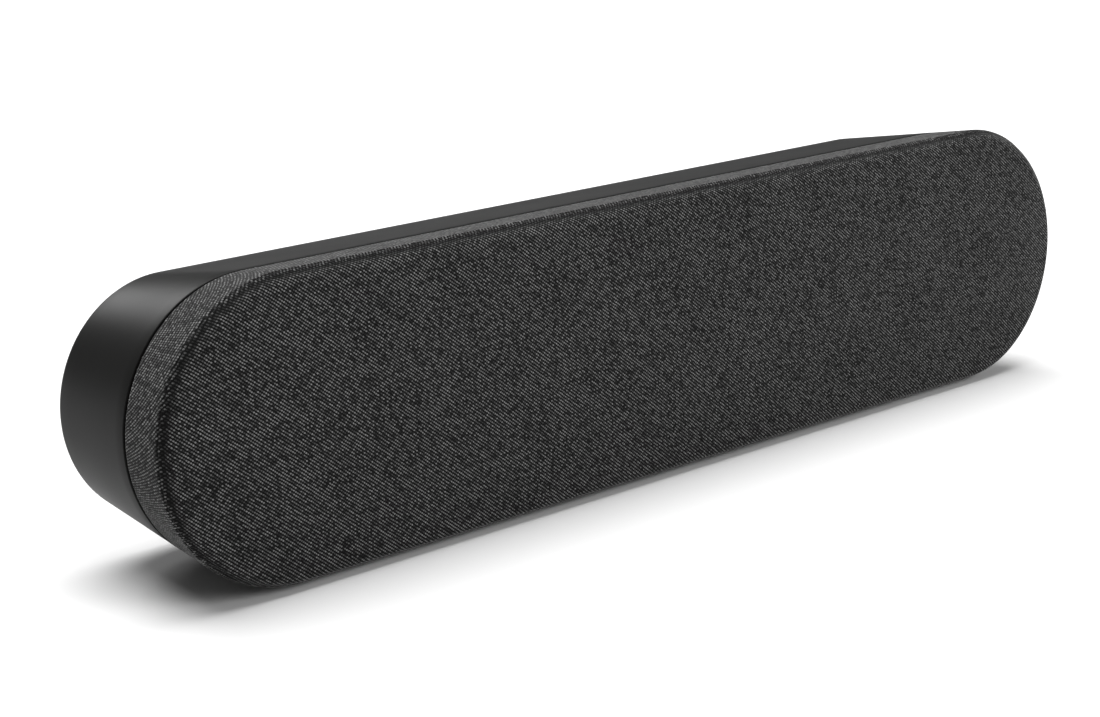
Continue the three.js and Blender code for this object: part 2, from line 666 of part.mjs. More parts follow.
// The twin leads run from the board's sockets to the back of each woofer's basket.
function addLeads() {
  const way = [
    [63, 2.8, -14],
    [64, -1, -14],
    [72, -5, -14],
    [82, -4.5, -14],
    [92, -3.4, -14],
    [97, -4.2, -13],
    [99, -5.1, -12],
  ];
  bothSides((side, sign) => {
    const route = new THREE.CatmullRomCurve3(way.map(([x, y, z]) => new THREE.Vector3(sign * x, y, z)));
    const section = new THREE.Shape().absarc(0, 0, LEAD_RADIUS, 0, 2 * Math.PI);
    const lead = new THREE.ExtrudeGeometry(section, { steps: 14, curveSegments: 4, extrudePath: route });
    add(`speaker_lead_${side}`, lead, MATERIALS.rubber);
  });
}

addGrille();
addBaffle();
addCase();
addScrews();
addInserts();
addFeet();
bothSides(addWoofer);
bothSides(addTweeter);
addRadiator();
addBoard();
addHeatSink();
addTray();
addPorts();
addButtons();
addStatusLight();
addLeads();

export default bar;
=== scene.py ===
"""A racetrack-fronted soundbar in charcoal twill and satin black plastic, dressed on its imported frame.

Design lengths are millimetres and the meshes are metres. +X runs along the bar, -Y faces the listener and
+Z is up. The origin is on the table under the middle of the bar.
"""

from __future__ import annotations

import logging
import math
from collections.abc import Iterable, Sequence
from dataclasses import dataclass
from enum import Enum
from typing import Any

import bmesh
import bpy
from mathutils import Matrix, Quaternion, Vector
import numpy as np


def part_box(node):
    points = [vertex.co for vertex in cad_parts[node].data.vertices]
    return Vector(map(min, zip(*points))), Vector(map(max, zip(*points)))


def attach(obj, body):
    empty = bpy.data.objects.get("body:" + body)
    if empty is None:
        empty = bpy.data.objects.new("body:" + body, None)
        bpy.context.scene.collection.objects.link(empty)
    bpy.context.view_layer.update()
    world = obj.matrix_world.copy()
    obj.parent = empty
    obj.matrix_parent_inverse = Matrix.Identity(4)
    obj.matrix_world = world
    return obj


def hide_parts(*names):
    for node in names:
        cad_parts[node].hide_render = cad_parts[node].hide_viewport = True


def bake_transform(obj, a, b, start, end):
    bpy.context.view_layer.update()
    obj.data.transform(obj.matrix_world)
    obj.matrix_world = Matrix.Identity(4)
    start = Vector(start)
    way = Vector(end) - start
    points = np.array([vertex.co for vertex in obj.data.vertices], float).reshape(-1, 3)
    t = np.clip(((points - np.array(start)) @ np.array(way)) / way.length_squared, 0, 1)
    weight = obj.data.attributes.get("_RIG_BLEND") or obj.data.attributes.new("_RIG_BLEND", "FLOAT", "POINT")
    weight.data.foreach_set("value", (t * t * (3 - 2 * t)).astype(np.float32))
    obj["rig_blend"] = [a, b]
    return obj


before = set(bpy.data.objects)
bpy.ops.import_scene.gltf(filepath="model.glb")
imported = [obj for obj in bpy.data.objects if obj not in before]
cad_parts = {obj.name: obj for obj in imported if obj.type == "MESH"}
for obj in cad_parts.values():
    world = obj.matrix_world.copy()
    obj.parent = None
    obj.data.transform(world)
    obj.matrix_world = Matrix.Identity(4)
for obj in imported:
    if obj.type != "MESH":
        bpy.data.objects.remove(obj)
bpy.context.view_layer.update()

MM = 0.001
ROOT = "enclosure"
LOG = logging.getLogger("soundbar")
OVERLAP = 1.0  # how far a joined or cutting shape runs past a surface
TO_THE_BACK = (-math.pi / 2, 0.0, 0.0)  # turns +Z to +Y

Colour = tuple[float, float, float]
Profile = list[tuple[float, float]]


# ---- Node trees ----------------------------------------------------------------------------------
class Signal:
    """A number that varies over a surface. Using it in an expression adds the Math nodes for it."""

    def __init__(self, graph: Graph, socket: bpy.types.NodeSocket) -> None:
        """Wraps an output socket of a graph."""
        self.graph = graph
        self.socket = socket

    def __add__(self, other: Number) -> Signal:
        """self + other."""
        return self.graph.math("ADD", self, other)

    def __sub__(self, other: Number) -> Signal:
        """self - other."""
        return self.graph.math("SUBTRACT", self, other)

    def __rsub__(self, other: Number) -> Signal:
        """other - self."""
        return self.graph.math("SUBTRACT", other, self)

    def __mul__(self, other: Number) -> Signal:
        """self * other."""
        return self.graph.math("MULTIPLY", self, other)

    def __truediv__(self, other: Number) -> Signal:
        """self / other."""
        return self.graph.math("DIVIDE", self, other)

    def __pow__(self, other: Number) -> Signal:
        """self ** other."""
        return self.graph.math("POWER", self, other)

    __radd__ = __add__
    __rmul__ = __mul__

    def floor(self) -> Signal:
        """The whole number at or below self."""
        return self.graph.math("FLOOR", self)

    def fraction(self) -> Signal:
        """What is left above the floor."""
        return self.graph.math("FRACT", self)

    def clamped(self) -> Signal:
        """self held between 0 and 1."""
        return self.graph.node("ShaderNodeClamp", inputs={"Value": self}).signal()

    def wave(self) -> Signal:
        """A smooth hump from 0 to 1 and back, once for each unit of self, highest at whole numbers."""
        return self.graph.math("COSINE", self * (2 * math.pi)) * 0.5 + 0.5

    def step(self, low: float, high: float) -> Signal:
        """0 below low, 1 above high, and smooth between them."""
        settings = {"interpolation_type": "SMOOTHSTEP"}
        values = {"Value": self, "From Min": low, "From Max": high}
        return self.graph.node("ShaderNodeMapRange", settings, values).signal()


Number = float | Signal
Feed = Number | bpy.types.NodeSocket | Sequence[float] | bpy.types.ID | bool | int | str


@dataclass(frozen=True)
class Built:
    """A node with short ways to its outputs."""

    graph: Graph
    node: bpy.types.Node

    def out(self, name: str | int = 0) -> bpy.types.NodeSocket:
        """The output socket with that name, identifier or index."""
        return find_socket(self.node.outputs, name)

    def signal(self, name: str | int = 0) -> Signal:
        """The same output as a number for expressions."""
        return Signal(self.graph, self.out(name))


def find_socket(sockets: Any, name: str | int) -> bpy.types.NodeSocket:
    """Finds a socket.

    Args:
        sockets: A node's inputs or outputs.
        name: The socket's identifier, name or index.

    Returns:
        The socket. An identifier wins over a name, because a Mix node has several sockets of one name.
    """
    if isinstance(name, int):
        return sockets[name]
    exact = [socket for socket in sockets if socket.identifier == name]
    named = [socket for socket in sockets if socket.name == name and socket.enabled]
    return (exact or named)[0]


class Graph:
    """A node tree that is filled by code."""

    def __init__(self, tree: bpy.types.NodeTree) -> None:
        """Wraps a shader or geometry tree."""
        self.tree = tree

    def feed(self, socket: bpy.types.NodeSocket, value: Feed) -> None:
        """Links a socket to a value that varies, or sets one that doesn't."""
        if isinstance(value, Signal):
            value = value.socket
        if isinstance(value, bpy.types.NodeSocket):
            self.tree.links.new(value, socket)
        elif socket.type == "RGBA" and len(value) == 3:
            socket.default_value = (*value, 1.0)
        else:
            socket.default_value = value

    def node(
        self,
        kind: str,
        settings: dict[str, Any] | None = None,
        inputs: dict[str | int, Feed] | None = None,
    ) -> Built:
        """Adds a node of any type.

        Args:
            kind: The node's type.
            settings: Its properties, set first. "stops" holds a colour ramp's positions and colours.
            inputs: Values or links for its sockets.

        Returns:
            The node.
        """
        node = self.tree.nodes.new(kind)
        for name, value in (settings or {}).items():
            if name == "stops":
                while len(node.color_ramp.elements) < len(value):
                    node.color_ramp.elements.new(1.0)
                for element, (position, colour) in zip(node.color_ramp.elements, value):
                    element.position = position
                    element.color = (*colour, 1.0)
            else:
                setattr(node, name, value)
        for name, value in (inputs or {}).items():
            self.feed(find_socket(node.inputs, name), value)
        return Built(self, node)

    def math(self, operation: str, *values: Number) -> Signal:
        """Adds a Math node."""
        return self.node("ShaderNodeMath", {"operation": operation}, dict(enumerate(values))).signal()

    def scaled(self, vector: bpy.types.NodeSocket, factors: Sequence[float]) -> bpy.types.NodeSocket:
        """Multiplies a vector by three factors."""
        return self.node("ShaderNodeVectorMath", {"operation": "MULTIPLY"}, {0: vector, 1: factors}).out()

    def place(self) -> bpy.types.NodeSocket:
        """The point on the object, in millimetres."""
        coordinates = self.node("ShaderNodeTexCoord")
        return self.scaled(coordinates.out("Object"), (1 / MM,) * 3)

    def split(self, vector: bpy.types.NodeSocket) -> tuple[Signal, Signal, Signal]:
        """A vector's three numbers."""
        parts = self.node("ShaderNodeSeparateXYZ", inputs={"Vector": vector})
        return parts.signal("X"), parts.signal("Y"), parts.signal("Z")

    def join(self, x: Number, y: Number, z: Number = 0.0) -> bpy.types.NodeSocket:
        """A vector of three numbers."""
        return self.node("ShaderNodeCombineXYZ", inputs={"X": x, "Y": y, "Z": z}).out()

    def noise(self, vector: bpy.types.NodeSocket, size: float, detail: float = 2.0) -> Signal:
        """Smooth noise from 0 to 1 with lumps of about that size, in the vector's own unit."""
        values = {"Vector": vector, "Scale": 1 / size, "Detail": detail}
        return self.node("ShaderNodeTexNoise", inputs=values).signal("Fac")

    def chance(self, vector: bpy.types.NodeSocket) -> Signal:
        """A random number for each different vector."""
        settings = {"noise_dimensions": "3D"}
        return self.node("ShaderNodeTexWhiteNoise", settings, {"Vector": vector}).signal("Value")

    def blend(self, share: Number, first: Feed, second: Feed, mode: str = "MIX") -> bpy.types.NodeSocket:
        """Mixes two colours."""
        values = {"Factor_Float": share, "A_Color": first, "B_Color": second}
        mixed = self.node("ShaderNodeMix", {"data_type": "RGBA", "blend_type": mode}, values)
        return mixed.out("Result_Color")

    def bump(self, height: Signal, depth: float, strength: float = 1.0) -> bpy.types.NodeSocket:
        """A normal that shows a height from 0 to 1 as relief of that depth in millimetres."""
        values = {"Height": height, "Distance": depth * MM, "Strength": strength}
        return self.node("ShaderNodeBump", inputs=values).out("Normal")

    def principled(self, **inputs: Feed) -> bpy.types.NodeSocket:
        """The surface shader. An argument's name is its socket's, with underscores for spaces."""
        values = {name.replace("_", " "): value for name, value in inputs.items()}
        return self.node("ShaderNodeBsdfPrincipled", inputs=values).out()


# ---- Finishes ------------------------------------------------------------------------------------
@dataclass(frozen=True)
class Finish:
    """A surface finish, which becomes one material."""

    name: str

    def material(self) -> bpy.types.Material:
        """The finish's material, made the first time it is asked for."""
        material = bpy.data.materials.get(self.name)
        if material is None:
            material = bpy.data.materials.new(self.name)
            material.use_nodes = True
            material.node_tree.nodes.clear()
            graph = Graph(material.node_tree)
            graph.node("ShaderNodeOutputMaterial", inputs={"Surface": self.surface(graph)})
        return material

    def surface(self, graph: Graph) -> bpy.types.NodeSocket:
        """Adds the finish's nodes and returns its shader."""
        raise NotImplementedError


@dataclass(frozen=True)
class MelangeTwill(Finish):
    """Charcoal speaker cloth: diagonal ribs of short floats, spun from dark and pale fibres.

    The pattern follows the cloth's own map, which holds millimetres on the flat cloth. Shade is painted into
    its colour in the weave's hollows and along the crease over the rim.
    """

    rib_across: tuple[float, float] = (0.60, 0.777)  # ribs met per millimetre along the cloth's X and Z
    float_along: tuple[float, float] = (-0.78, 0.735)  # floats met per millimetre
    rib_sway: tuple[tuple[float, float], ...] = ((9.0, 0.3), (1.9, 0.3))  # size, and share of a rib
    float_sway: tuple[float, float] = (3.1, 0.5)
    lesser_relief: float = 0.6  # of the floats on the face, and of the ribs on the band
    fibre_run: tuple[float, float] = (6.0, 1.4)  # fibres met per rib and per float
    patches: tuple[tuple[float, float], ...] = ((3.4, 3.0), (26.0, 2.0))  # size and detail
    patch_share: float = 0.25
    stitch_share: float = 0.66
    fibre_share: float = 0.3
    mean: float = 0.71  # of the three shares together
    pale_level: float = 0.35
    band_contrast: float = 0.35  # added to the face's contrast
    # Painted shade in the weave's hollows follows the relief's height through this slope and start.
    hollow_slope: float = 2.5
    hollow_start: float = 0.7
    # How much painted shade darkens the cloth's colour along the crease over the rim.
    painted_crease_shade: float = 0.85
    relief: float = 0.22  # millimetres
    # The near-black colour of the painted shade in the weave's hollows.
    painted_hollow_shade: Colour = (0.0008, 0.0008, 0.0008)
    dark_yarn: Colour = (0.007, 0.007, 0.007)
    pale_yarn: Colour = (0.225, 0.225, 0.223)

    def surface(self, graph: Graph) -> bpy.types.NodeSocket:
        """Adds the weave's nodes and returns its shader."""
        flat = graph.node("ShaderNodeUVMap", {"uv_map": "cloth"}).out("UV")
        place = graph.scaled(flat, (1 / MM,) * 3)
        x, z, _ = graph.split(place)
        slow, quick = (graph.noise(place, size, 1.0) * share for size, share in self.rib_sway)
        ribs = x * self.rib_across[0] + z * self.rib_across[1] + (slow + quick)
        size, share = self.float_sway
        drift = graph.noise(place, size, 1.0) * share
        floats = x * self.float_along[0] + z * self.float_along[1] + drift
        stitch = graph.chance(graph.join((ribs + 0.5).floor(), (floats + 0.5).floor()))
        wrapped = graph.node("ShaderNodeAttribute", {"attribute_name": "wrapped"}).signal("Fac")
        rib_depth = 1.0 - wrapped * (1.0 - self.lesser_relief)
        float_depth = wrapped * (1.0 - self.lesser_relief) + self.lesser_relief
        rib_height = ribs.wave() * rib_depth + (1.0 - rib_depth)
        height = rib_height * (floats.wave() * float_depth + (1.0 - float_depth))
        run = graph.join(ribs * self.fibre_run[0], floats * self.fibre_run[1])
        fibres = graph.noise(run, 1.0, 3.0)
        small, large = (graph.noise(place, *patch) * self.patch_share for patch in self.patches)
        mixture = stitch * self.stitch_share + fibres * self.fibre_share + (small + large)
        contrast = wrapped * self.band_contrast + 1.0
        pale = ((mixture - self.mean) * contrast + self.pale_level).clamped()
        yarn = graph.blend(pale, self.dark_yarn, self.pale_yarn)
        crease = graph.node("ShaderNodeAttribute", {"attribute_name": "crease"}).signal("Fac")
        # Painted shade: low parts of the weave's relief are darkened towards a near-black colour.
        lit = (height * self.hollow_slope - self.hollow_start).clamped()
        # Painted shade along the crease and the fold over the rim.
        shade = lit * (1.0 - crease * self.painted_crease_shade)
        colour = graph.blend(shade, self.painted_hollow_shade, yarn)
        return graph.principled(
            Base_Color=colour,
            Roughness=0.9,
            Specular_IOR_Level=0.12,
            Sheen_Weight=0.2,
            Sheen_Roughness=0.3,
            Normal=graph.bump(height * 0.85 + fibres * 0.15, self.relief, 0.8),
        )


@dataclass(frozen=True)
class Moulding(Finish):
    """Injection-moulded plastic with a fine spark-eroded grain."""

    colour: Colour
    roughness: float = 0.5
    grain: float = 0.35
    relief: float = 0.012
    gloss: float = 0.35
    ior: float = 1.45
    handling_size: float = 38.0
    unevenness: float = 0.14  # of the colour, each way

    def surface(self, graph: Graph) -> bpy.types.NodeSocket:
        """Adds the grain's nodes and returns the shader."""
        place = graph.place()
        grain = graph.noise(place, self.grain, 3.0)
        handling = graph.noise(place, self.handling_size, 3.0)
        colour = graph.blend(
            grain * 0.5 + handling * 0.5,
            tuple(c * (1.0 - self.unevenness) for c in self.colour),
            tuple(c * (1.0 + self.unevenness) for c in self.colour),
        )
        return graph.principled(
            Base_Color=colour,
            Roughness=handling * 0.08 + grain * 0.06 + (self.roughness - 0.07),
            Specular_IOR_Level=self.gloss,
            IOR=self.ior,
            Normal=graph.bump(grain, self.relief),
        )


@dataclass(frozen=True)
class Rubber(Finish):
    """Black moulded rubber with pale dust in its pores."""

    colour: Colour = (0.014, 0.014, 0.015)
    pore_size: float = 0.5
    bloom_size: float = 12.0
    bloom: float = 2.6  # how much paler the bloom is
    roughness: float = 0.8

    def surface(self, graph: Graph) -> bpy.types.NodeSocket:
        """Adds the pores' and the bloom's nodes and returns the shader."""
        place = graph.place()
        pores = graph.noise(place, self.pore_size, 4.0)
        bloom = graph.noise(place, self.bloom_size, 3.0).step(0.45, 0.75)
        pale = tuple(c * self.bloom for c in self.colour)
        return graph.principled(
            Base_Color=graph.blend(bloom * 0.5 + pores * 0.3, self.colour, pale),
            Roughness=pores * 0.12 + (self.roughness - 0.06),
            Specular_IOR_Level=0.3,
            Normal=graph.bump(pores, 0.03),
        )


class Tone(Enum):
    """Base colours of the bare metals."""

    ZINC = (0.56, 0.57, 0.58)
    BRASS = (0.68, 0.48, 0.2)
    ALUMINIUM = (0.66, 0.67, 0.68)
    COPPER = (0.63, 0.27, 0.13)
    GOLD = (0.8, 0.58, 0.24)
    TIN = (0.6, 0.6, 0.58)


@dataclass(frozen=True)
class Metal(Finish):
    """Turned or brushed metal: fine lines across the depth axis, and cloudy tarnish."""

    tone: Tone
    roughness: float = 0.32
    lines: float = 0.11  # width of the machining lines
    waver: tuple[float, float] = (4.0, 2.0)  # how often, and by how many lines, they waver
    tarnish_size: float = 2.6
    tarnish: float = 0.62  # the tone's share that is left where it is dull

    def surface(self, graph: Graph) -> bpy.types.NodeSocket:
        """Adds the lines' and the tarnish's nodes and returns the shader."""
        place = graph.place()
        _, depth, _ = graph.split(place)
        waver = graph.noise(place, self.waver[0]) * self.waver[1]
        scratches = graph.noise(graph.join(depth / self.lines, waver), 1.0, 3.0)
        tarnish = graph.noise(place, self.tarnish_size, 4.0)
        dull = tuple(c * self.tarnish for c in self.tone.value)
        return graph.principled(
            Base_Color=graph.blend(tarnish.step(0.4, 0.85), self.tone.value, dull),
            Metallic=1.0,
            Roughness=scratches * 0.14 + tarnish * 0.16 + (self.roughness - 0.12),
            Normal=graph.bump(scratches, 0.006),
        )


@dataclass(frozen=True)
class Pulp(Finish):
    """Coated paper or resin-dipped cloth: short fibres pressed flat."""

    colour: Colour
    roughness: float = 0.72
    fibre_size: float = 0.9
    long_way: tuple[float, float, float] = (1.0, 0.35, 2.4)  # how tightly fibres lie on each axis
    cross_way: tuple[float, float, float] = (2.6, 0.5, 1.0)
    coat_size: float = 14.0
    coat_rings: float = 9.0  # spacing along the depth

    def surface(self, graph: Graph) -> bpy.types.NodeSocket:
        """Adds the fibres' nodes and returns the shader."""
        place = graph.place()
        _, depth, _ = graph.split(place)
        along = graph.noise(graph.scaled(place, self.long_way), self.fibre_size, 4.0)
        across = graph.noise(graph.scaled(place, self.cross_way), self.fibre_size, 4.0)
        fibres = along * 0.5 + across * 0.5
        coat = graph.noise(place, self.coat_size) * 0.7 + (depth / self.coat_rings).wave() * 0.3
        colour = graph.blend(
            fibres.step(0.35, 0.7) * 0.7 + coat * 0.3,
            tuple(c * 0.7 for c in self.colour),
            tuple(c * 1.5 for c in self.colour),
        )
        return graph.principled(
            Base_Color=colour,
            Roughness=fibres * 0.2 + (self.roughness - 0.1),
            Normal=graph.bump(fibres, 0.05),
        )


@dataclass(frozen=True)
class SolderMask(Finish):
    """A circuit board: lacquer over copper tracks on a 2.54 mm grid, with tinned holes."""

    lacquer: Colour = (0.012, 0.085, 0.04)
    track: Colour = (0.03, 0.16, 0.075)
    pad: Colour = (0.55, 0.54, 0.5)
    pitch: float = 2.54
    track_edge: tuple[float, float] = (0.09, 0.13)  # shares of the pitch from a track's middle
    pad_edge: tuple[float, float] = (0.17, 0.2)
    pad_chance: tuple[float, float] = (0.7, 0.72)  # cells whose number is above these have a pad

    def surface(self, graph: Graph) -> bpy.types.NodeSocket:
        """Adds the tracks' nodes and returns the shader."""
        x, _, z = graph.split(graph.place())
        column = x / self.pitch
        row = z / self.pitch
        cell = graph.join(column.floor(), row.floor())
        pick = graph.chance(cell)
        along = column.fraction() - 0.5
        across = row.fraction() - 0.5
        run = pick.step(0.49, 0.51)
        offset = graph.math("ABSOLUTE", across * run + along * (1.0 - run))
        tracks = 1.0 - offset.step(*self.track_edge)
        distance = graph.math("SQRT", along * along + across * across)
        pads = (1.0 - distance.step(*self.pad_edge)) * pick.step(*self.pad_chance)
        lacquered = graph.blend(tracks, self.lacquer, self.track)
        return graph.principled(
            Base_Color=graph.blend(pads, lacquered, self.pad),
            Roughness=0.38 - pads * 0.1,
            Metallic=pads * 0.9,
            Normal=graph.bump(tracks * 0.5 + pads * 0.5, 0.04),
        )


@dataclass(frozen=True)
class Sintered(Finish):
    """Pressed ferrite or shrink sleeve: near black with mineral specks."""

    colour: Colour = (0.03, 0.03, 0.033)
    mineral: Colour = (0.12, 0.12, 0.125)
    speck_size: float = 0.4
    cloud_size: float = 9.0

    def surface(self, graph: Graph) -> bpy.types.NodeSocket:
        """Adds the specks' nodes and returns the shader."""
        place = graph.place()
        specks = graph.noise(place, self.speck_size, 5.0).step(0.56, 0.72)
        clouds = graph.noise(place, self.cloud_size, 4.0)
        return graph.principled(
            Base_Color=graph.blend(specks * 0.35 + clouds * 0.3, self.colour, self.mineral),
            Roughness=clouds * 0.2 + 0.42,
            Normal=graph.bump(specks, 0.02),
        )


@dataclass(frozen=True)
class LightGuide(Finish):
    """Clear moulded acrylic with a faint haze."""

    haze_size: float = 1.2
    hazy: Colour = (0.86, 0.88, 0.9)
    clear: Colour = (0.95, 0.96, 0.97)

    def surface(self, graph: Graph) -> bpy.types.NodeSocket:
        """Adds the haze's nodes and returns the shader."""
        haze = graph.noise(graph.place(), self.haze_size, 3.0)
        return graph.principled(
            Base_Color=graph.blend(haze, self.hazy, self.clear),
            Roughness=haze * 0.2 + 0.08,
            IOR=1.49,
            Transmission_Weight=0.8,
        )


@dataclass(frozen=True)
class Paper(Finish):
    """The pale matte table that the bar stands on."""

    colour: Colour = (0.74, 0.74, 0.74)
    tooth_size: float = 2.0

    def surface(self, graph: Graph) -> bpy.types.NodeSocket:
        """Adds a faint tooth and returns the shader."""
        tooth = graph.noise(graph.place(), self.tooth_size, 2.0)
        return graph.principled(
            Base_Color=graph.blend(tooth, tuple(c * 0.995 for c in self.colour), self.colour),
            Roughness=0.85,
            Specular_IOR_Level=0.1,
        )


CLOTH = MelangeTwill("charcoal_twill")
CASE = Moulding("satin_case_plastic", (0.009, 0.009, 0.0088), 0.4, gloss=0.5, ior=1.13)
INNER = Moulding("inner_black_plastic", (0.009, 0.009, 0.0095), 0.62, relief=0.02, gloss=0.2)
TRAY = Moulding("socket_tray_plastic", (0.02, 0.02, 0.021), 0.58, grain=0.5, relief=0.03)
SOCKET = Moulding("socket_plastic", (0.012, 0.012, 0.013), 0.4)
RUBBER = Rubber("foot_rubber")
ZINC = Metal("zinc_plated_steel", Tone.ZINC)
BRASS = Metal("turned_brass", Tone.BRASS, 0.28)
ALUMINIUM = Metal("satin_aluminium", Tone.ALUMINIUM, 0.36)
COPPER = Metal("enamelled_copper_wire", Tone.COPPER, 0.3, lines=0.22)
GOLD = Metal("gold_plated_contacts", Tone.GOLD, 0.2)
TIN = Metal("tinned_socket_shell", Tone.TIN, 0.26)
PULP = Pulp("coated_cone_paper", (0.024, 0.024, 0.026))
SPIDER = Pulp("resin_dipped_spider_cloth", (0.42, 0.26, 0.1), 0.65)
BOARD = SolderMask("green_circuit_board")
FERRITE = Sintered("sintered_ferrite")
GUIDE = LightGuide("clear_light_guide")
INK = Moulding("pale_printing_ink", (0.42, 0.42, 0.42), 0.6, grain=0.15)
TABLE = Paper("pale_table")


# ---- Meshes --------------------------------------------------------------------------------------
def box_of(node: str) -> tuple[Vector, Vector]:
    """A CAD node's lowest and highest corners in millimetres."""
    low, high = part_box(node)
    return low / MM, high / MM


def middle_of(node: str) -> Vector:
    """The middle of a CAD node's box in millimetres."""
    low, high = box_of(node)
    return (low + high) / 2


def arc(centre: tuple[float, float], radius: float, start: float, end: float, steps: int) -> Profile:
    """Points on an arc.

    Args:
        centre: The arc's centre.
        radius: Its radius.
        start: Its first angle in degrees.
        end: Its last angle in degrees.
        steps: The number of chords.

    Returns:
        steps + 1 points.
    """
    angles = [math.radians(start + (end - start) * i / steps) for i in range(steps + 1)]
    return [(centre[0] + radius * math.cos(a), centre[1] + radius * math.sin(a)) for a in angles]


class Sketch:
    """A mesh in the making, in millimetres."""

    def __init__(self) -> None:
        """Starts with nothing."""
        self.mesh = bmesh.new()

    def grid(
        self,
        rows: Sequence[Sequence[Vector]],
        wrap: bool,
        cloth: Sequence[Sequence[Vector]] | None = None,
        marks: dict[str, Sequence[float]] | None = None,
    ) -> Sketch:
        """Adds a grid of quads.

        Args:
            rows: Rows of points; the last row joins the first.
            wrap: Whether each row's last point joins its first too.
            cloth: Each point's place on the flat cloth, in metres, kept in a UV map.
            marks: Numbers for each column, kept as attributes.

        Returns:
            The sketch itself.
        """
        layer = self.mesh.loops.layers.uv.new("cloth") if cloth else None
        for name in marks or {}:
            self.mesh.verts.layers.float.new(name)
        made = [[self.mesh.verts.new(point) for point in row] for row in rows]
        for name, amounts in (marks or {}).items():
            mark = self.mesh.verts.layers.float[name]
            for row in made:
                for vertex, amount in zip(row, amounts):
                    vertex[mark] = amount
        columns = len(rows[0])
        for i in range(len(rows)):
            following = (i + 1) % len(rows)
            for j in range(columns if wrap else columns - 1):
                across = (j + 1) % columns
                corners = [(i, j), (following, j), (following, across), (i, across)]
                face = self.mesh.faces.new([made[a][b] for a, b in corners])
                if layer:
                    for loop, (a, b) in zip(face.loops, corners):
                        loop[layer].uv = cloth[a][b]
        bmesh.ops.remove_doubles(self.mesh, verts=self.mesh.verts, dist=1e-5)
        return self

    def block(
        self, low: Sequence[float], high: Sequence[float], corner: float = 0.0, axis: int = 1
    ) -> Sketch:
        """Adds a box whose edges along one axis are rounded.

        Args:
            low: Its lowest corner.
            high: Its highest corner.
            corner: The radius of the rounded edges.
            axis: Which axis those edges run along, 0 to 2.

        Returns:
            The sketch itself.
        """
        size = Vector(high) - Vector(low)
        place = Matrix.Translation((Vector(low) + Vector(high)) / 2) @ Matrix.Diagonal((*size, 1))
        made = bmesh.ops.create_cube(self.mesh, size=1.0, matrix=place)["verts"]
        if corner:
            edges = {e for v in made for e in v.link_edges}
            along = [e for e in edges if abs((e.verts[1].co - e.verts[0].co)[axis]) > 1e-6]
            bmesh.ops.bevel(self.mesh, geom=along, offset=corner, segments=5, profile=0.5, affect="EDGES")
        return self

    def turned(self, profile: Profile, centre: Sequence[float] = (0, 0, 0), steps: int = 64) -> Sketch:
        """Adds a shape turned about the depth axis.

        Args:
            profile: Radius and depth of its outline. Unless both ends are on the axis, it closes on itself.
            centre: The axis's place across and up, and a shift in depth.
            steps: The number of facets.

        Returns:
            The sketch itself.
        """
        rows = []
        for i in range(steps):
            angle = 2 * math.pi * i / steps
            outward = Vector((math.sin(angle), 0, math.cos(angle)))
            rows.append([Vector(centre) + outward * r + Vector((0, y, 0)) for r, y in profile])
        on_axis = profile[0][0] == 0 and profile[-1][0] == 0
        return self.grid(rows, wrap=not on_axis)

    def moved(self, matrix: Matrix) -> Sketch:
        """Moves everything drawn so far."""
        bmesh.ops.transform(self.mesh, matrix=matrix, verts=self.mesh.verts)
        return self

    def outward(self) -> Sketch:
        """Drops faces of no area and turns every face outwards."""
        bmesh.ops.dissolve_degenerate(self.mesh, edges=self.mesh.edges, dist=1e-6)
        bmesh.ops.recalc_face_normals(self.mesh, faces=self.mesh.faces)
        return self

    def object(self, name: str, smooth_below: float = 35.0) -> bpy.types.Object:
        """Turns the sketch into an object in metres.

        Args:
            name: The object's name.
            smooth_below: Edges that turn less than this many degrees are shaded smooth.

        Returns:
            The object, linked to the scene.
        """
        self.outward().moved(Matrix.Scale(MM, 4))
        mesh = bpy.data.meshes.new(name)
        self.mesh.to_mesh(mesh)
        self.mesh.free()
        return link(name, mesh, smooth_below)


def link(name: str, mesh: bpy.types.Mesh, smooth_below: float = 35.0) -> bpy.types.Object:
    """Puts a mesh into the scene as an object, shaded smooth except at sharp edges."""
    made = bpy.data.objects.new(name, mesh)
    bpy.context.scene.collection.objects.link(made)
    mesh.shade_smooth()
    mesh.set_sharp_from_angle(angle=math.radians(smooth_below))
    return made


def settle(piece: bpy.types.Object, smooth_below: float = 35.0) -> bpy.types.Object:
    """Replaces a piece's mesh by what its modifiers make of it."""
    bpy.context.view_layer.update()
    seen = piece.evaluated_get(bpy.context.evaluated_depsgraph_get())
    mesh = bpy.data.meshes.new_from_object(seen)
    piece.modifiers.clear()
    old, piece.data = piece.data, mesh
    mesh.name = piece.name
    bpy.data.meshes.remove(old)
    mesh.shade_smooth()
    mesh.set_sharp_from_angle(angle=math.radians(smooth_below))
    return piece


def combined(piece: bpy.types.Object, tool: Sketch, operation: str) -> bpy.types.Object:
    """Joins a sketch to a piece, or cuts it out.

    Args:
        piece: The piece that changes.
        tool: Closed shapes that don't touch each other.
        operation: "UNION" or "DIFFERENCE".

    Returns:
        The piece.
    """
    other = tool.object(piece.name + "_tool")
    modifier = piece.modifiers.new("combine", "BOOLEAN")
    modifier.operation = operation
    modifier.object = other
    modifier.solver = "EXACT"
    settle(piece)
    bpy.data.objects.remove(other)
    return piece


def eased(
    piece: bpy.types.Object, width: float, segments: int = 2, above: float = 40.0
) -> bpy.types.Object:
    """Rounds a piece's sharp edges.

    Args:
        piece: The piece.
        width: The bevel's width in millimetres.
        segments: Its number of facets.
        above: Edges that turn more than this many degrees are rounded.

    Returns:
        The piece.
    """
    modifier = piece.modifiers.new("ease", "BEVEL")
    modifier.width = width * MM
    modifier.segments = segments
    modifier.limit_method = "ANGLE"
    modifier.angle_limit = math.radians(above)
    modifier.harden_normals = False
    return settle(piece, 50.0)


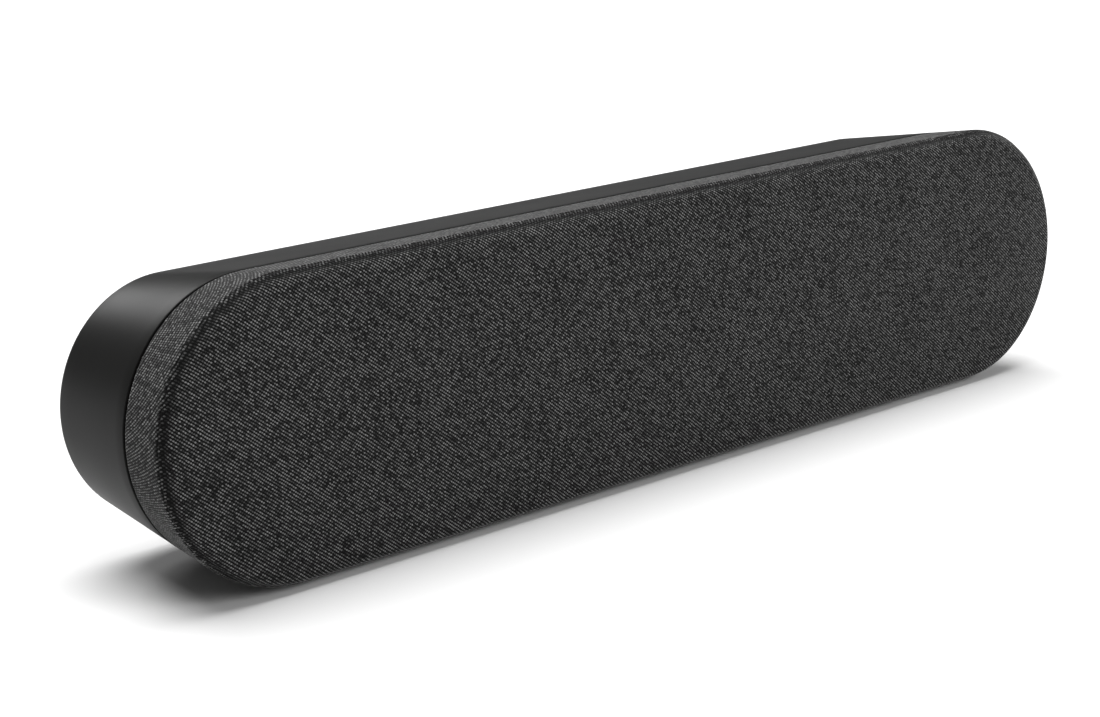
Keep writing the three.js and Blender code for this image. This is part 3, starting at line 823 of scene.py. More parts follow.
@dataclass(frozen=True)
class Berth:
    """Where a piece belongs. A piece that bends between two bodies has none of its own."""

    body: str | None
    slot: str
    stands_for: tuple[str, ...] = ()

    def admit(self, piece: bpy.types.Object, finish: Finish | None) -> bpy.types.Object:
        """Gives a finished piece its finish and its body, and reports it."""
        if finish is not None:
            piece.data.materials.clear()
            piece.data.materials.append(finish.material())
        if self.stands_for:
            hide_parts(*self.stands_for)
        if self.body is not None:
            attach(piece, self.body)
        LOG.info("%s: %d faces on %s", piece.name, len(piece.data.polygons), self.body or "two bodies")
        return piece


class Recipe:
    """A Geometry Nodes tree with named inputs. It is run on a base mesh and leaves a plain one."""

    def __init__(self, name: str) -> None:
        """Starts a tree with a geometry input and output."""
        self.name = name
        self.tree = bpy.data.node_groups.new(name, "GeometryNodeTree")
        self.graph = Graph(self.tree)
        for way in ("INPUT", "OUTPUT"):
            self.tree.interface.new_socket("Geometry", in_out=way, socket_type="NodeSocketGeometry")
        self.entry = self.graph.node("NodeGroupInput")
        self.dials: dict[str, tuple[str, Any]] = {}

    def dial(self, name: str, value: Any, kind: str = "NodeSocketFloat") -> bpy.types.NodeSocket:
        """Adds a named input.

        Args:
            name: The input's name.
            value: Its value when the recipe runs.
            kind: Its socket type.

        Returns:
            The socket that carries it inside the tree.
        """
        socket = self.tree.interface.new_socket(name, in_out="INPUT", socket_type=kind)
        self.dials[name] = (socket.identifier, value)
        return self.entry.out(socket.identifier)

    def length(self, name: str, value: float) -> Signal:
        """A named input that is given in millimetres and used in metres."""
        return Signal(self.graph, self.dial(name, value * MM))

    def add(self, kind: str, **inputs: Feed) -> bpy.types.NodeSocket:
        """Adds a geometry node and returns its first output. Underscores in a name stand for spaces."""
        values = {name.replace("_", " "): value for name, value in inputs.items()}
        return self.graph.node(kind, inputs=values).out()

    def joined(self, *parts: bpy.types.NodeSocket) -> bpy.types.NodeSocket:
        """Several geometries as one."""
        node = self.graph.node("GeometryNodeJoinGeometry")
        for part in parts:
            self.graph.feed(node.node.inputs[0], part)
        return node.out()

    def scattered(
        self, copy: bpy.types.NodeSocket, turn: tuple[float, float, float] = (0.0, 0.0, 0.0)
    ) -> bpy.types.NodeSocket:
        """A copy of a geometry on each point of the base mesh.

        Args:
            copy: The geometry that is repeated.
            turn: Its rotation in radians.

        Returns:
            The copies.
        """
        points = self.entry.out("Geometry")
        return self.add("GeometryNodeInstanceOnPoints", Points=points, Instance=copy, Rotation=turn)

    def run(self, base: bpy.types.Mesh, result: bpy.types.NodeSocket, finish: Finish) -> bpy.types.Object:
        """Ends the tree, runs it and keeps the plain mesh.

        Args:
            base: The mesh that the tree gets, such as points to put copies on.
            result: The tree's last geometry.
            finish: The finish for all of it.

        Returns:
            The piece, linked to the scene.
        """
        material = self.dial("Finish", finish.material(), "NodeSocketMaterial")
        real = self.add("GeometryNodeRealizeInstances", Geometry=result)
        dressed = self.add("GeometryNodeSetMaterial", Geometry=real, Material=material)
        self.graph.node("NodeGroupOutput", inputs={"Geometry": dressed})
        piece = link(self.name, base)
        modifier = piece.modifiers.new(self.name, "NODES")
        modifier.node_group = self.tree
        for identifier, value in self.dials.values():
            modifier[identifier] = value
        return settle(piece)


def points_mesh(name: str, points: Iterable[Vector]) -> bpy.types.Mesh:
    """A mesh of loose points, given in millimetres."""
    mesh = bpy.data.meshes.new(name)
    mesh.from_pydata([tuple(p * MM) for p in points], [], [])
    return mesh


# ---- The racetrack shape -------------------------------------------------------------------------
@dataclass(frozen=True)
class Racetrack:
    """The pill outline that the cloth and the case share, seen from the front."""

    height: float  # of the centre line above the table
    radius: float  # of the half-round ends at the widest section
    half_span: float  # of the straight part
    front: float
    back: float
    crown: float = 2.5
    rim: float = 5.5
    draft: float = 8.1  # taper behind the rim, in degrees

    @classmethod
    def from_frame(cls) -> Racetrack:
        """Reads the outline from the grille cloth's and the rear housing's boxes."""
        low, high = box_of("grille_fabric")
        radius = (high.z - low.z) / 2
        half_span = (high.x - low.x) / 2 - radius
        return cls((high.z + low.z) / 2, radius, half_span, low.y, box_of("rear_housing")[1].y)

    @property
    def crown_radius(self) -> float:
        """Where the domed front meets the rim."""
        return self.radius - self.rim

    @property
    def rim_depth(self) -> float:
        """Depth of the rim's centre, and of the widest section."""
        return self.front + self.crown + self.rim

    def crown_at(self, radius: float) -> float:
        """Depth of the domed front at a distance from the centre line."""
        return self.front + self.crown * (radius / self.crown_radius) ** 2

    def radius_at(self, depth: float) -> float:
        """The outer radius at a depth behind the rim."""
        slope = math.radians(self.draft)
        start = self.crown_radius + self.rim * math.cos(slope)
        return start - (depth - self.rim_depth - self.rim * math.sin(slope)) * math.tan(slope)

    def stations(self, end_steps: int, straight_steps: int) -> list[tuple[Vector, Vector]]:
        """Points on the centre line with the direction outwards from them, once round the track."""
        centre = Vector((0, 0, self.height))
        found = []
        for side in (1, -1):
            for i in range(end_steps):
                angle = math.pi * i / end_steps
                outward = Vector((math.sin(angle), 0, math.cos(angle))) * side
                found.append((centre + Vector((side * self.half_span, 0, 0)), outward))
            for i in range(straight_steps):
                x = side * self.half_span * (1 - 2 * i / straight_steps)
                found.append((centre + Vector((x, 0, 0)), Vector((0, 0, -side))))
        return found

    def sweep(
        self,
        profile: Profile,
        end_steps: int = 64,
        straight_steps: int = 40,
        reach: Sequence[float] | None = None,
        marks: dict[str, Sequence[float]] | None = None,
    ) -> Sketch:
        """Carries a profile of radius and depth once round the track.

        Args:
            profile: The outline. Unless both ends are on the centre line, it closes on itself.
            end_steps: Facets in each half-round end.
            straight_steps: Facets along each straight side.
            reach: Each profile point's distance from the centre line along the flat cloth.
            marks: Numbers for each profile point, kept as attributes.

        Returns:
            The swept shape.
        """
        stations = self.stations(end_steps, straight_steps)
        rows = [[core + out * r + Vector((0, y, 0)) for r, y in profile] for core, out in stations]
        cloth = None
        if reach:
            cloth = [
                [Vector((core.x + out.x * s, out.z * s)) * MM for s in reach] for core, out in stations
            ]
        on_axis = profile[0][0] == 0 and profile[-1][0] == 0
        return Sketch().grid(rows, wrap=not on_axis, cloth=cloth, marks=marks)


def lengths_along(profile: Profile) -> list[float]:
    """The distance from a profile's first point to each of its points."""
    total, found = 0.0, [0.0]
    for (r0, y0), (r1, y1) in zip(profile, profile[1:]):
        total += math.hypot(r1 - r0, y1 - y0)
        found.append(total)
    return found


@dataclass(frozen=True)
class GrilleCloth:
    """The twill stretched over the grille frame, turned in at its rear edge."""

    track: Racetrack
    thickness: float = 1.1
    rear_gap: float = 0.15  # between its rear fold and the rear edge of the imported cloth
    crown_facets: int = 24
    rim_facets: int = 40
    band_facets: int = 12
    crease_at: float = -31.0  # where the cloth pinches over the rim, in degrees round the rim's arc
    crease_width: float = 14.0
    fold_at: float = -9.0  # a finer fold beside it
    fold_width: float = 4.0
    fold_share: float = 0.75  # of the crease's depth
    crease_depth: float = 0.35
    wrap_span: float = 20.0  # degrees from the crease to where the weave is the band's own
    slack: float = 0.6  # flat cloth in each millimetre of the band, where it is pulled round the rim
    cut: tuple[float, float] = (0.500, 0.155)  # the flat blank, in metres, with half-round ends

    def outer(self, end: float) -> Profile:
        """The cloth's outer face from the centre line to its rear edge."""
        track = self.track
        radii = [track.crown_radius * i / self.crown_facets for i in range(self.crown_facets + 1)]
        crown = [(r, track.crown_at(r)) for r in radii]
        centre = (track.crown_radius, track.rim_depth)
        rim = []
        for r, y in arc(centre, track.rim, -90, track.draft, self.rim_facets):
            out, back = r - centre[0], y - centre[1]
            creased = self.creased(math.degrees(math.atan2(back, out)))
            inwards = 1 - self.crease_depth * creased / track.rim
            rim.append((centre[0] + out * inwards, centre[1] + back * inwards))
        first = rim[-1][1]
        facets = self.band_facets
        band = [first + (end - first) * i / facets for i in range(1, facets + 1)]
        return crown + rim[1:] + [(track.radius_at(y), y) for y in band]

    def creased(self, angle: float) -> float:
        """How creased the cloth is at an angle round the rim's arc, from 0 to 1."""
        crease = math.exp(-(((angle - self.crease_at) / self.crease_width) ** 2))
        fold = math.exp(-(((angle - self.fold_at) / self.fold_width) ** 2))
        return max(crease, self.fold_share * fold)

    def inside(self, outer: Profile, end: float) -> Profile:
        """The turned hem and the cloth's inner face, from the rear edge back to the centre line."""
        track = self.track
        hem = self.thickness / 2
        turn = [(r - hem, y) for r, y in arc((outer[-1][0], end - hem), hem, 0, 180, 6)]
        band = [(max(r - self.thickness, 0.0), y) for r, y in outer if y > track.rim_depth]
        bend = arc((track.crown_radius, track.rim_depth), track.rim - self.thickness, 0, -90, 8)
        radii = [track.crown_radius * i / 6 for i in range(5, -1, -1)]
        floor = [(r, track.crown_at(r) + self.thickness) for r in radii]
        return turn[1:] + band[-2::-1] + bend + floor

    def flat_reach(self, outer: Profile, profile: Profile) -> list[float]:
        """Each profile point's distance from the centre line along the flat cloth."""
        reach = lengths_along(outer)
        turned_back = lengths_along(profile)[len(outer) :]
        reach += [2 * reach[-1] - s for s in turned_back]
        taut = self.track.radius
        return [s if s < taut else taut + (s - taut) * self.slack for s in reach]

    def marks(self, profile: Profile) -> dict[str, list[float]]:
        """How creased, and how far round the rim, the cloth is at each profile point."""
        out, back = self.track.crown_radius, self.track.rim_depth
        turns = [math.degrees(math.atan2(y - back, max(r - out, 1e-6))) for r, y in profile]
        return {
            # The crease mark paints shade into the cloth's colour.
            "crease": [self.creased(turn) for turn in turns],
            "wrapped": [min(max((turn - self.crease_at) / self.wrap_span, 0.0), 1.0) for turn in turns],
        }

    def build(self) -> bpy.types.Object:
        end = box_of("grille_fabric")[1].y - self.rear_gap
        outer = self.outer(end - self.thickness / 2)
        profile = outer + self.inside(outer, end)
        reach = self.flat_reach(outer, profile)
        cloth = self.track.sweep(profile, 72, 90, reach, self.marks(profile)).object("grille_cloth", 60.0)
        Berth(ROOT, "cloth", ("grille_fabric",)).admit(cloth, CLOTH)
        blank = (self.cut[0] - self.cut[1]) * self.cut[1] + math.pi * self.cut[1] ** 2 / 4
        return cloth


@dataclass(frozen=True)
class RearCase:
    """The tapered moulded case with its socket opening, screw holes and wall inserts."""

    track: Racetrack
    wall: float = 3.2
    edge: float = 4.0  # radius of the back edge
    lip_wall: float = 2.2
    lip_depth: float = 2.8
    lip_round: float = 0.35
    lip_chamfer: float = 0.2
    floor_inset: float = 2.0  # from the back edge's centre to the flat floor's rim
    floor_ease: float = 3.0  # how far the tub's inner corner runs up the wall
    screw_hole: float = 1.9
    counterbore: float = 3.6
    counterbore_floor: float = 37.6
    screw_boss: tuple[float, float] = (5.5, 33.0)  # radius, and depth of its front end
    screw_start: float = 30.0
    insert_boss: tuple[float, float] = (8.5, 27.0)
    insert_hole: tuple[float, float] = (5.4, 28.5)
    bay: tuple[float, float] = (145.0, 29.0)
    bay_corner: float = 3.0

    def shell(self) -> bpy.types.Object:
        """The closed tub, before its holes are cut."""
        track = self.track
        front = box_of("rear_housing")[0].y
        slope = math.radians(track.draft)
        back_centre = track.back - self.edge
        widest = track.radius_at(back_centre + self.edge * math.sin(slope))
        edge_centre = widest - self.edge * math.cos(slope)
        wall_start = front + self.lip_round
        lip_centre = (track.radius_at(front) - self.lip_round, wall_start)
        lip = arc(lip_centre, self.lip_round, -90, track.draft, 4)
        depths = [wall_start + (back_centre - wall_start) * i / 8 for i in range(1, 8)]
        side = [(track.radius_at(y), y) for y in depths]
        turn = arc((edge_centre, back_centre), self.edge, track.draft, 90, 12)
        back = [(edge_centre * i / 6, track.back) for i in range(5, -1, -1)]
        seat = front + self.lip_depth
        floor = track.back - self.wall
        inside = [
            (0, floor),
            (edge_centre - self.floor_inset, floor),
            (track.radius_at(floor - self.floor_ease) - self.wall, floor - self.floor_ease),
            (track.radius_at(seat) - self.wall, seat),
            (track.radius_at(front) - self.lip_wall, seat),
            (track.radius_at(front) - self.lip_wall, front + self.lip_chamfer),
        ]
        return track.sweep(inside + lip + side + turn + back, 72, 24).object("rear_case", 30.0)

    def build(self) -> bpy.types.Object:
        """Makes the case with its bosses, holes and socket opening."""
        track = self.track
        case = self.shell()
        screws = [middle_of(f"housing_screw_{i}") for i in range(1, 9)]
        inserts = [middle_of(f"wall_insert_{side}") for side in ("left", "right")]
        inside = track.back - self.wall + OVERLAP
        bosses = Sketch()
        for places, (radius, start) in ((screws, self.screw_boss), (inserts, self.insert_boss)):
            for place in places:
                post = [(0, start), (radius, start), (radius, inside), (0, inside)]
                bosses.turned(post, (place.x, 0, place.z), 40)
        combined(case, bosses, "UNION")
        holes = Sketch()
        out = track.back + 2 * OVERLAP
        for place in screws:
            start, floor = self.screw_start, self.counterbore_floor
            steps = [(0, start), (self.screw_hole, start), (self.screw_hole, floor)]
            steps += [(self.counterbore, floor), (self.counterbore, out), (0, out)]
            holes.turned(steps, (place.x, 0, place.z), 32)
        for place in inserts:
            radius, start = self.insert_hole
            steps = [(0, start), (radius, start), (radius, out), (0, out)]
            holes.turned(steps, (place.x, 0, place.z), 40)
        width, height = (size / 2 for size in self.bay)
        low = (-width, self.screw_start, track.height - height)
        holes.block(low, (width, out, track.height + height), self.bay_corner)
        combined(case, holes, "DIFFERENCE")
        eased(case, 0.35)
        return Berth(ROOT, "case_black", ("rear_housing",)).admit(case, CASE)


# ---- Feet and fasteners --------------------------------------------------------------------------
@dataclass(frozen=True)
class RubberFoot:
    """A wedge that fills the space between the tapered case and the table, on a ribbed sole."""

    side: str
    track: Racetrack
    corner: float = 10.0
    sole: float = 1.0
    ribs: int = 13
    tread_inset: float = 2.5  # of each rib's ends
    excess: float = 5.0  # height of the block above the foot, before the taper is cut
    gap: float = 0.3  # between the foot and the case
    reach: float = 10.0  # of the taper's cutter beyond the foot, on every side
    cutter_height: float = 40.0

    def build(self) -> bpy.types.Object:
        """Makes the wedge and its ribs."""
        name = f"foot_{self.side}"
        low, high = box_of(name)
        top = (high.x, high.y, high.z + self.excess)
        wedge = Sketch().block((low.x, low.y, self.sole), top, self.corner, axis=2)
        foot = wedge.object(f"rubber_foot_{self.side}")
        combined(foot, self.above(low, high), "DIFFERENCE")
        eased(foot, 0.7, 3)
        self.treads(low, high)
        return Berth(ROOT, "rubber", (name,)).admit(foot, RUBBER)

    def above(self, low: Vector, high: Vector) -> Sketch:
        """The space over the foot, which the tapered case takes up."""
        front_top = self.track.height - self.track.radius_at(low.y) - self.gap
        back_top = self.track.height - self.track.radius_at(high.y) - self.gap
        slope = (back_top - front_top) / (high.y - low.y)
        reach = self.reach
        outline = [
            (low.y - reach, front_top - slope * reach),
            (high.y + reach, back_top + slope * reach),
            (high.y + reach, back_top + self.cutter_height),
            (low.y - reach, back_top + self.cutter_height),
        ]
        space = Sketch()
        ends = []
        for x in (low.x - reach, high.x + reach):
            ends.append([space.mesh.verts.new((x, y, z)) for y, z in outline])
            space.mesh.faces.new(ends[-1])
        for i in range(4):
            j = (i + 1) % 4
            space.mesh.faces.new([ends[0][i], ends[0][j], ends[1][j], ends[1][i]])
        return space

    def treads(self, low: Vector, high: Vector) -> bpy.types.Object:
        """The half-round ribs under the sole."""
        recipe = Recipe(f"foot_treads_{self.side}")
        radius = recipe.length("Radius", self.sole)
        length = recipe.length("Length", high.y - low.y - 2 * self.tread_inset)
        count = recipe.dial("Count", self.ribs, "NodeSocketInt")
        spacing = recipe.length("Spacing", (high.x - low.x - 2 * self.corner) / (self.ribs - 1))
        bar = recipe.add("GeometryNodeMeshCylinder", Vertices=20, Radius=radius, Depth=length)
        bar = recipe.add("GeometryNodeTransform", Geometry=bar, Rotation=(math.pi / 2, 0.0, 0.0))
        line = recipe.add("GeometryNodeMeshLine", Count=count, Offset=recipe.graph.join(spacing, 0.0))
        treads = recipe.add("GeometryNodeInstanceOnPoints", Points=line, Instance=bar)
        start = Vector((low.x + self.corner, (low.y + high.y) / 2, self.sole))
        rows = recipe.scattered(treads)
        piece = recipe.run(points_mesh("tread_start", [start]), rows, RUBBER)
        return Berth(ROOT, "rubber").admit(piece, None)


@dataclass(frozen=True)
class HousingScrews:
    """Eight pan-head screws with cross recesses."""

    head_radius: float = 3.3
    head_height: float = 1.7
    dome: float = 0.55
    shank_radius: float = 1.6
    recess_length: float = 3.6
    recess_width: float = 0.75
    recess_depth: float = 1.1

    def build(self) -> bpy.types.Object:
        """Makes one screw in Geometry Nodes and puts a copy at each hole."""
        boxes = [box_of(f"housing_screw_{i}") for i in range(1, 9)]
        places = [Vector(((low.x + high.x) / 2, high.y, (low.z + high.z) / 2)) for low, high in boxes]
        shank = boxes[0][1].y - boxes[0][0].y - self.head_height
        recipe = Recipe("housing_screws")
        graph = recipe.graph
        head_radius = recipe.length("Head Radius", self.head_radius)
        head_height = recipe.length("Head Height", self.head_height)
        dome = recipe.length("Dome", self.dome)
        width = recipe.length("Recess Width", self.recess_width)
        length = recipe.length("Recess Length", self.recess_length)
        depth = recipe.length("Recess Depth", self.recess_depth)
        shank_radius = recipe.length("Shank Radius", self.shank_radius)
        shank_length = recipe.length("Shank Length", shank)
        size = {"Radius": head_radius, "Depth": head_height}
        head = recipe.add("GeometryNodeMeshCylinder", Vertices=28, Fill_Segments=5, **size)
        below = graph.join(0.0, 0.0, head_height * -0.5)
        head = recipe.add("GeometryNodeTransform", Geometry=head, Translation=below)
        x, y, z = graph.split(graph.node("GeometryNodeInputPosition").out())
        on_top = z.step(-1e-5, -5e-6)  # the top face lies at zero
        drop = (x * x + y * y) / (head_radius * head_radius) * dome * on_top
        sunk = graph.join(0.0, 0.0, drop * -1.0)
        head = recipe.add("GeometryNodeSetPosition", Geometry=head, Offset=sunk)
        cross = recipe.joined(
            recipe.add("GeometryNodeMeshCube", Size=graph.join(length, width, depth * 2.0)),
            recipe.add("GeometryNodeMeshCube", Size=graph.join(width, length, depth * 2.0)),
        )
        cut = graph.node("GeometryNodeMeshBoolean", {"operation": "DIFFERENCE"})
        graph.feed(find_socket(cut.node.inputs, "Mesh 1"), head)
        graph.feed(find_socket(cut.node.inputs, "Mesh 2"), cross)
        graph.feed(find_socket(cut.node.inputs, "Self Intersection"), True)
        size = {"Radius": shank_radius, "Depth": shank_length}
        stem = recipe.add("GeometryNodeMeshCylinder", Vertices=20, **size)
        low = head_height * -1.0 - shank_length * 0.5
        stem = recipe.add("GeometryNodeTransform", Geometry=stem, Translation=graph.join(0.0, 0.0, low))
        screw = recipe.joined(cut.out(), stem)
        # The screw is drawn along Z with its head up, and faces the back of the bar.
        copies = recipe.scattered(screw, TO_THE_BACK)
        piece = recipe.run(points_mesh("screw_places", places), copies, ZINC)
        names = tuple(f"housing_screw_{i}" for i in range(1, 9))
        return Berth(ROOT, "steel", names).admit(piece, None)


@dataclass(frozen=True)
class WallInserts:
    """Two knurled brass inserts with an M6 thread."""

    bore: float = 3.1
    outer: float = 5.2
    chamfer: float = 0.5
    collar: float = 0.3  # how far the plain collar stands back from the knurl
    collar_depth: float = 1.0
    collar_slope: float = 0.2
    pitch: float = 1.0
    thread: float = 0.32
    thread_start: float = 0.8  # behind the sleeve's front end
    thread_end: float = 1.0  # before its rear end
    teeth: int = 40
    tooth_depth: float = 0.18

    def build(self) -> list[bpy.types.Object]:
        """Makes both inserts: a knurled sleeve and the thread's ridge in each."""
        made = []
        for side in ("left", "right"):
            name = f"wall_insert_{side}"
            low, high = box_of(name)
            middle = (low + high) / 2
            collar, collar_front = self.outer - self.collar, high.y - self.collar_depth
            profile = [
                (self.bore, low.y),
                (self.outer - self.chamfer, low.y),
                (self.outer, low.y + self.chamfer),
                (self.outer, collar_front - self.collar_slope),
                (collar, collar_front),
                (collar, high.y),
                (self.bore + self.chamfer, high.y),
                (self.bore, high.y - self.chamfer),
            ]
            steps = self.teeth * 4
            sleeve = Sketch().turned(profile, (middle.x, 0, middle.z), steps)
            for vertex in sleeve.mesh.verts:
                across = Vector((vertex.co.x - middle.x, 0, vertex.co.z - middle.z))
                if across.length > self.outer - self.collar / 3:
                    turn = math.atan2(across.x, across.z) * self.teeth
                    vertex.co -= across.normalized() * self.tooth_depth * (1 + math.cos(turn)) / 2
            piece = sleeve.object(f"brass_insert_{side}", 25.0)
            Berth(ROOT, "brass", (name,)).admit(piece, BRASS)
            made.append(piece)
        made.append(self.threads())
        return made

    def threads(self) -> bpy.types.Object:
        """The helical ridges of both inserts, from one spiral."""
        boxes = [box_of(f"wall_insert_{side}") for side in ("left", "right")]
        starts = [low.y + self.thread_start for low, _ in boxes]
        places = [
            Vector(((low.x + high.x) / 2, start, (low.z + high.z) / 2))
            for (low, high), start in zip(boxes, starts)
        ]
        run = boxes[0][1].y - boxes[0][0].y - self.thread_start - self.thread_end
        recipe = Recipe("insert_threads")
        turns = Signal(recipe.graph, recipe.dial("Turns", run / self.pitch))
        radius = recipe.length("Radius", self.bore)
        height = recipe.length("Height", run)
        ridge = recipe.length("Ridge", self.thread)
        spiral = recipe.add(
            "GeometryNodeCurveSpiral",
            Resolution=36,
            Rotations=turns,
            Start_Radius=radius,
            End_Radius=radius,
            Height=height,
        )
        section = recipe.add("GeometryNodeCurvePrimitiveCircle", Resolution=4, Radius=ridge)
        coil = recipe.graph.node(
            "GeometryNodeCurveToMesh",
            inputs={"Curve": spiral, "Profile Curve": section, "Fill Caps": True},
        ).out()
        copies = recipe.scattered(coil, TO_THE_BACK)
        piece = recipe.run(points_mesh("insert_places", places), copies, BRASS)
        return Berth(ROOT, "brass").admit(piece, None)


# ---- Drivers -------------------------------------------------------------------------------------
@dataclass(frozen=True)
class Flexure:
    """A soft ring that is held along its outer edge and carried by a moving part along its inner one."""

    node: str
    carrier: str
    profile: Profile
    held: float  # beyond this radius it stays still
    carried: float  # within this radius it moves fully
    slot: str
    finish: Finish
    half_span: float = 0.0  # of the straight part, where the ring is a racetrack

    def build(self) -> bpy.types.Object:
        """Makes the ring and lets it bend between the enclosure and its carrier."""
        middle = middle_of(self.node)
        if self.half_span:
            sketch = Racetrack(middle.z, self.held, self.half_span, 0.0, 0.0).sweep(self.profile, 40, 20)
        else:
            sketch = Sketch().turned(self.profile, (middle.x, 0, middle.z), 80)
        ring = sketch.object("soft_" + self.node, 50.0)
        self.bend(ring, middle)
        return Berth(None, self.slot, (self.node,)).admit(ring, self.finish)

    def bend(self, ring: bpy.types.Object, middle: Vector) -> None:
        """The points lie in a line meanwhile, and then go back."""
        vertices = ring.data.vertices
        places = [vertex.co.copy() for vertex in vertices]
        for vertex, place in zip(vertices, places):
            beyond = max(abs(place.x - middle.x * MM) - self.half_span * MM, 0.0)
            vertex.co = (math.hypot(beyond, place.z - middle.z * MM), 0, 0)
        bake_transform(ring, ROOT, self.carrier, start=(self.held * MM, 0, 0), end=(self.carried * MM, 0, 0))
        for vertex, place in zip(vertices, places):
            vertex.co = place


@dataclass(frozen=True)
class HalfRoll:
    """The section of a rubber surround: flat lips beside a roll that bulges forwards."""

    inner: float
    outer: float
    outer_lip: float
    back: float = -28.6
    inner_lip: float = 1.4
    thick: float = 0.6

    def profile(self) -> Profile:
        """Its outline."""
        front = self.back - self.thick
        middle, roll = (self.inner + self.outer) / 2, (self.outer - self.inner) / 2
        start = self.inner - self.inner_lip
        outline = [(start, self.back), (start, front), *arc((middle, front), roll, 180, 360, 16)]
        outline += [(self.outer_lip, front), (self.outer_lip, self.back)]
        return outline + arc((middle, self.back), roll - self.thick, 360, 180, 14)


@dataclass(frozen=True)
class Woofer:
    """A full-range driver's soft parts, cone, coil and magnet. Its pressed basket keeps its shape."""

    side: str
    cone_front: tuple[float, float] = (25.2, -28.3)
    cone_neck: tuple[float, float] = (10.9, -14.4)
    cone_wall: float = 0.75
    rib: float = 0.25
    cap_radius: float = 18.67  # of the dust cap's sphere
    cap_rim: float = 10.6
    cap_front: float = -19.6
    cap_wall: float = 0.5
    spider_inner: float = 11.1
    spider_outer: float = 26.5
    spider_back: float = -10.0
    spider_thick: float = 0.45
    spider_swing: float = 1.2
    spider_waves: int = 5
    wire: float = 0.5
    coil_radius: float = 10.7
    former: float = 10.0
    former_wall: float = 0.5
    winding_front: float = -6.5
    plate_bore: float = 11.6
    magnet_bore: float = 14.0
    pole: float = 9.4
    pole_chamfer: float = 0.4
    back_plate: float = 4.2
    plate_chamfer: float = 0.3
    plate_bevel: tuple[float, float] = (2.0, 1.0)  # inwards and forwards, at the back
    surround_bend: tuple[float, float] = (30.2, 26.2)  # still beyond, and carried fully within
    spider_bend: tuple[float, float] = (24.0, 11.5)

    def build(self) -> None:
        """Makes every part of the driver on its own body."""
        moving = f"woofer_{self.side}_moving"
        roll = HalfRoll(inner=25.6, outer=31.2, outer_lip=33.0).profile()
        Flexure(self.name("surround"), moving, roll, *self.surround_bend, "rubber", RUBBER).build()
        spider = self.name("spider")
        Flexure(spider, moving, self.spider(), *self.spider_bend, "spider_cloth", SPIDER).build()
        self.turn("cone", self.cone(), "paper", PULP, moving)
        self.turn("dust_cap", self.cap(), "paper", PULP, moving)
        self.turn("voice_coil", self.coil(), "copper", COPPER, moving)
        self.turn("top_plate", self.ring("top_plate", self.plate_bore, chamfer=0.4), "steel", ZINC, ROOT)
        self.turn("magnet", self.ring("magnet", self.magnet_bore, chamfer=0.8), "ferrite", FERRITE, ROOT)
        self.turn("yoke", self.yoke(), "steel", ZINC, ROOT)

    def name(self, part: str) -> str:
        """The CAD node of one of the driver's parts."""
        return f"woofer_{self.side}_{part}"

    def turn(self, part: str, profile: Profile, slot: str, finish: Finish, body: str) -> bpy.types.Object:
        """Makes a turned part on the driver's axis."""
        node = self.name(part)
        middle = middle_of(node)
        piece = Sketch().turned(profile, (middle.x, 0, middle.z), 72).object("fine_" + node)
        return Berth(body, slot, (node,)).admit(piece, finish)

    def cone(self) -> Profile:
        """A straight cone with pressed ribs."""
        (r0, y0), (r1, y1) = self.cone_front, self.cone_neck
        steps = 40
        front, back = [], []
        for i in range(steps + 1):
            share = i / steps
            pressed = self.rib * math.sin(math.pi * share) * math.sin(12 * math.pi * share) ** 2
            radius, depth = r0 + (r1 - r0) * share, y0 + (y1 - y0) * share + pressed
            front.append((radius, depth))
            back.append((radius, depth + self.cone_wall))
        return front + back[::-1]

    def cap(self) -> Profile:
        """A thin spherical cap."""
        centre = self.cap_front + self.cap_radius
        rim = -math.degrees(math.acos(self.cap_rim / self.cap_radius))
        outer = arc((0, centre), self.cap_radius, -90, rim, 14)
        inner = arc((0, centre), self.cap_radius - self.cap_wall, rim, -90, 14)
        return [(0.0, outer[0][1]), *outer[1:], *inner[:-1], (0.0, inner[-1][1])]

    def spider(self) -> Profile:
        """Corrugated cloth."""
        steps = self.spider_waves * 12
        front, back = [], []
        for i in range(steps + 1):
            share = i / steps
            radius = self.spider_inner + (self.spider_outer - self.spider_inner) * share
            lift = self.spider_swing * (1 - math.cos(2 * math.pi * self.spider_waves * share)) / 2
            back.append((radius, self.spider_back - lift))
            front.append((radius, self.spider_back - self.spider_thick - lift))
        return front + back[::-1]

    def coil(self) -> Profile:
        """A former wound with round wire."""
        low, high = box_of(self.name("voice_coil"))
        turns = round((high.y - self.winding_front) / self.wire)
        outside = self.former + self.former_wall
        outline = [(self.former, low.y), (outside, low.y), (outside, self.winding_front)]
        for i in range(turns):
            centre = (self.coil_radius, self.winding_front + (i + 0.5) * self.wire)
            outline += arc(centre, self.wire / 2, -60, 60, 3)
        return outline + [(self.coil_radius, high.y), (self.former, high.y)]

    def ring(self, part: str, inner: float, chamfer: float) -> Profile:
        """A flat ring with chamfered outer edges."""
        low, high = box_of(self.name(part))
        outer = (high.x - low.x) / 2
        outline = [(inner, low.y), (outer - chamfer, low.y), (outer, low.y + chamfer)]
        return outline + [(outer, high.y - chamfer), (outer - chamfer, high.y), (inner, high.y)]

    def yoke(self) -> Profile:
        """A pole on a bevelled back plate."""
        low, high = box_of(self.name("yoke"))
        base, pole, shoulder = (high.x - low.x) / 2, self.pole, high.y - self.back_plate
        tip, edge, (inwards, forwards) = self.pole_chamfer, self.plate_chamfer, self.plate_bevel
        outline = [(0, low.y), (pole - tip, low.y), (pole, low.y + tip), (pole, shoulder)]
        outline += [(base - edge, shoulder), (base, shoulder + edge)]
        return outline + [(base, high.y - forwards), (base - inwards, high.y), (0, high.y)]


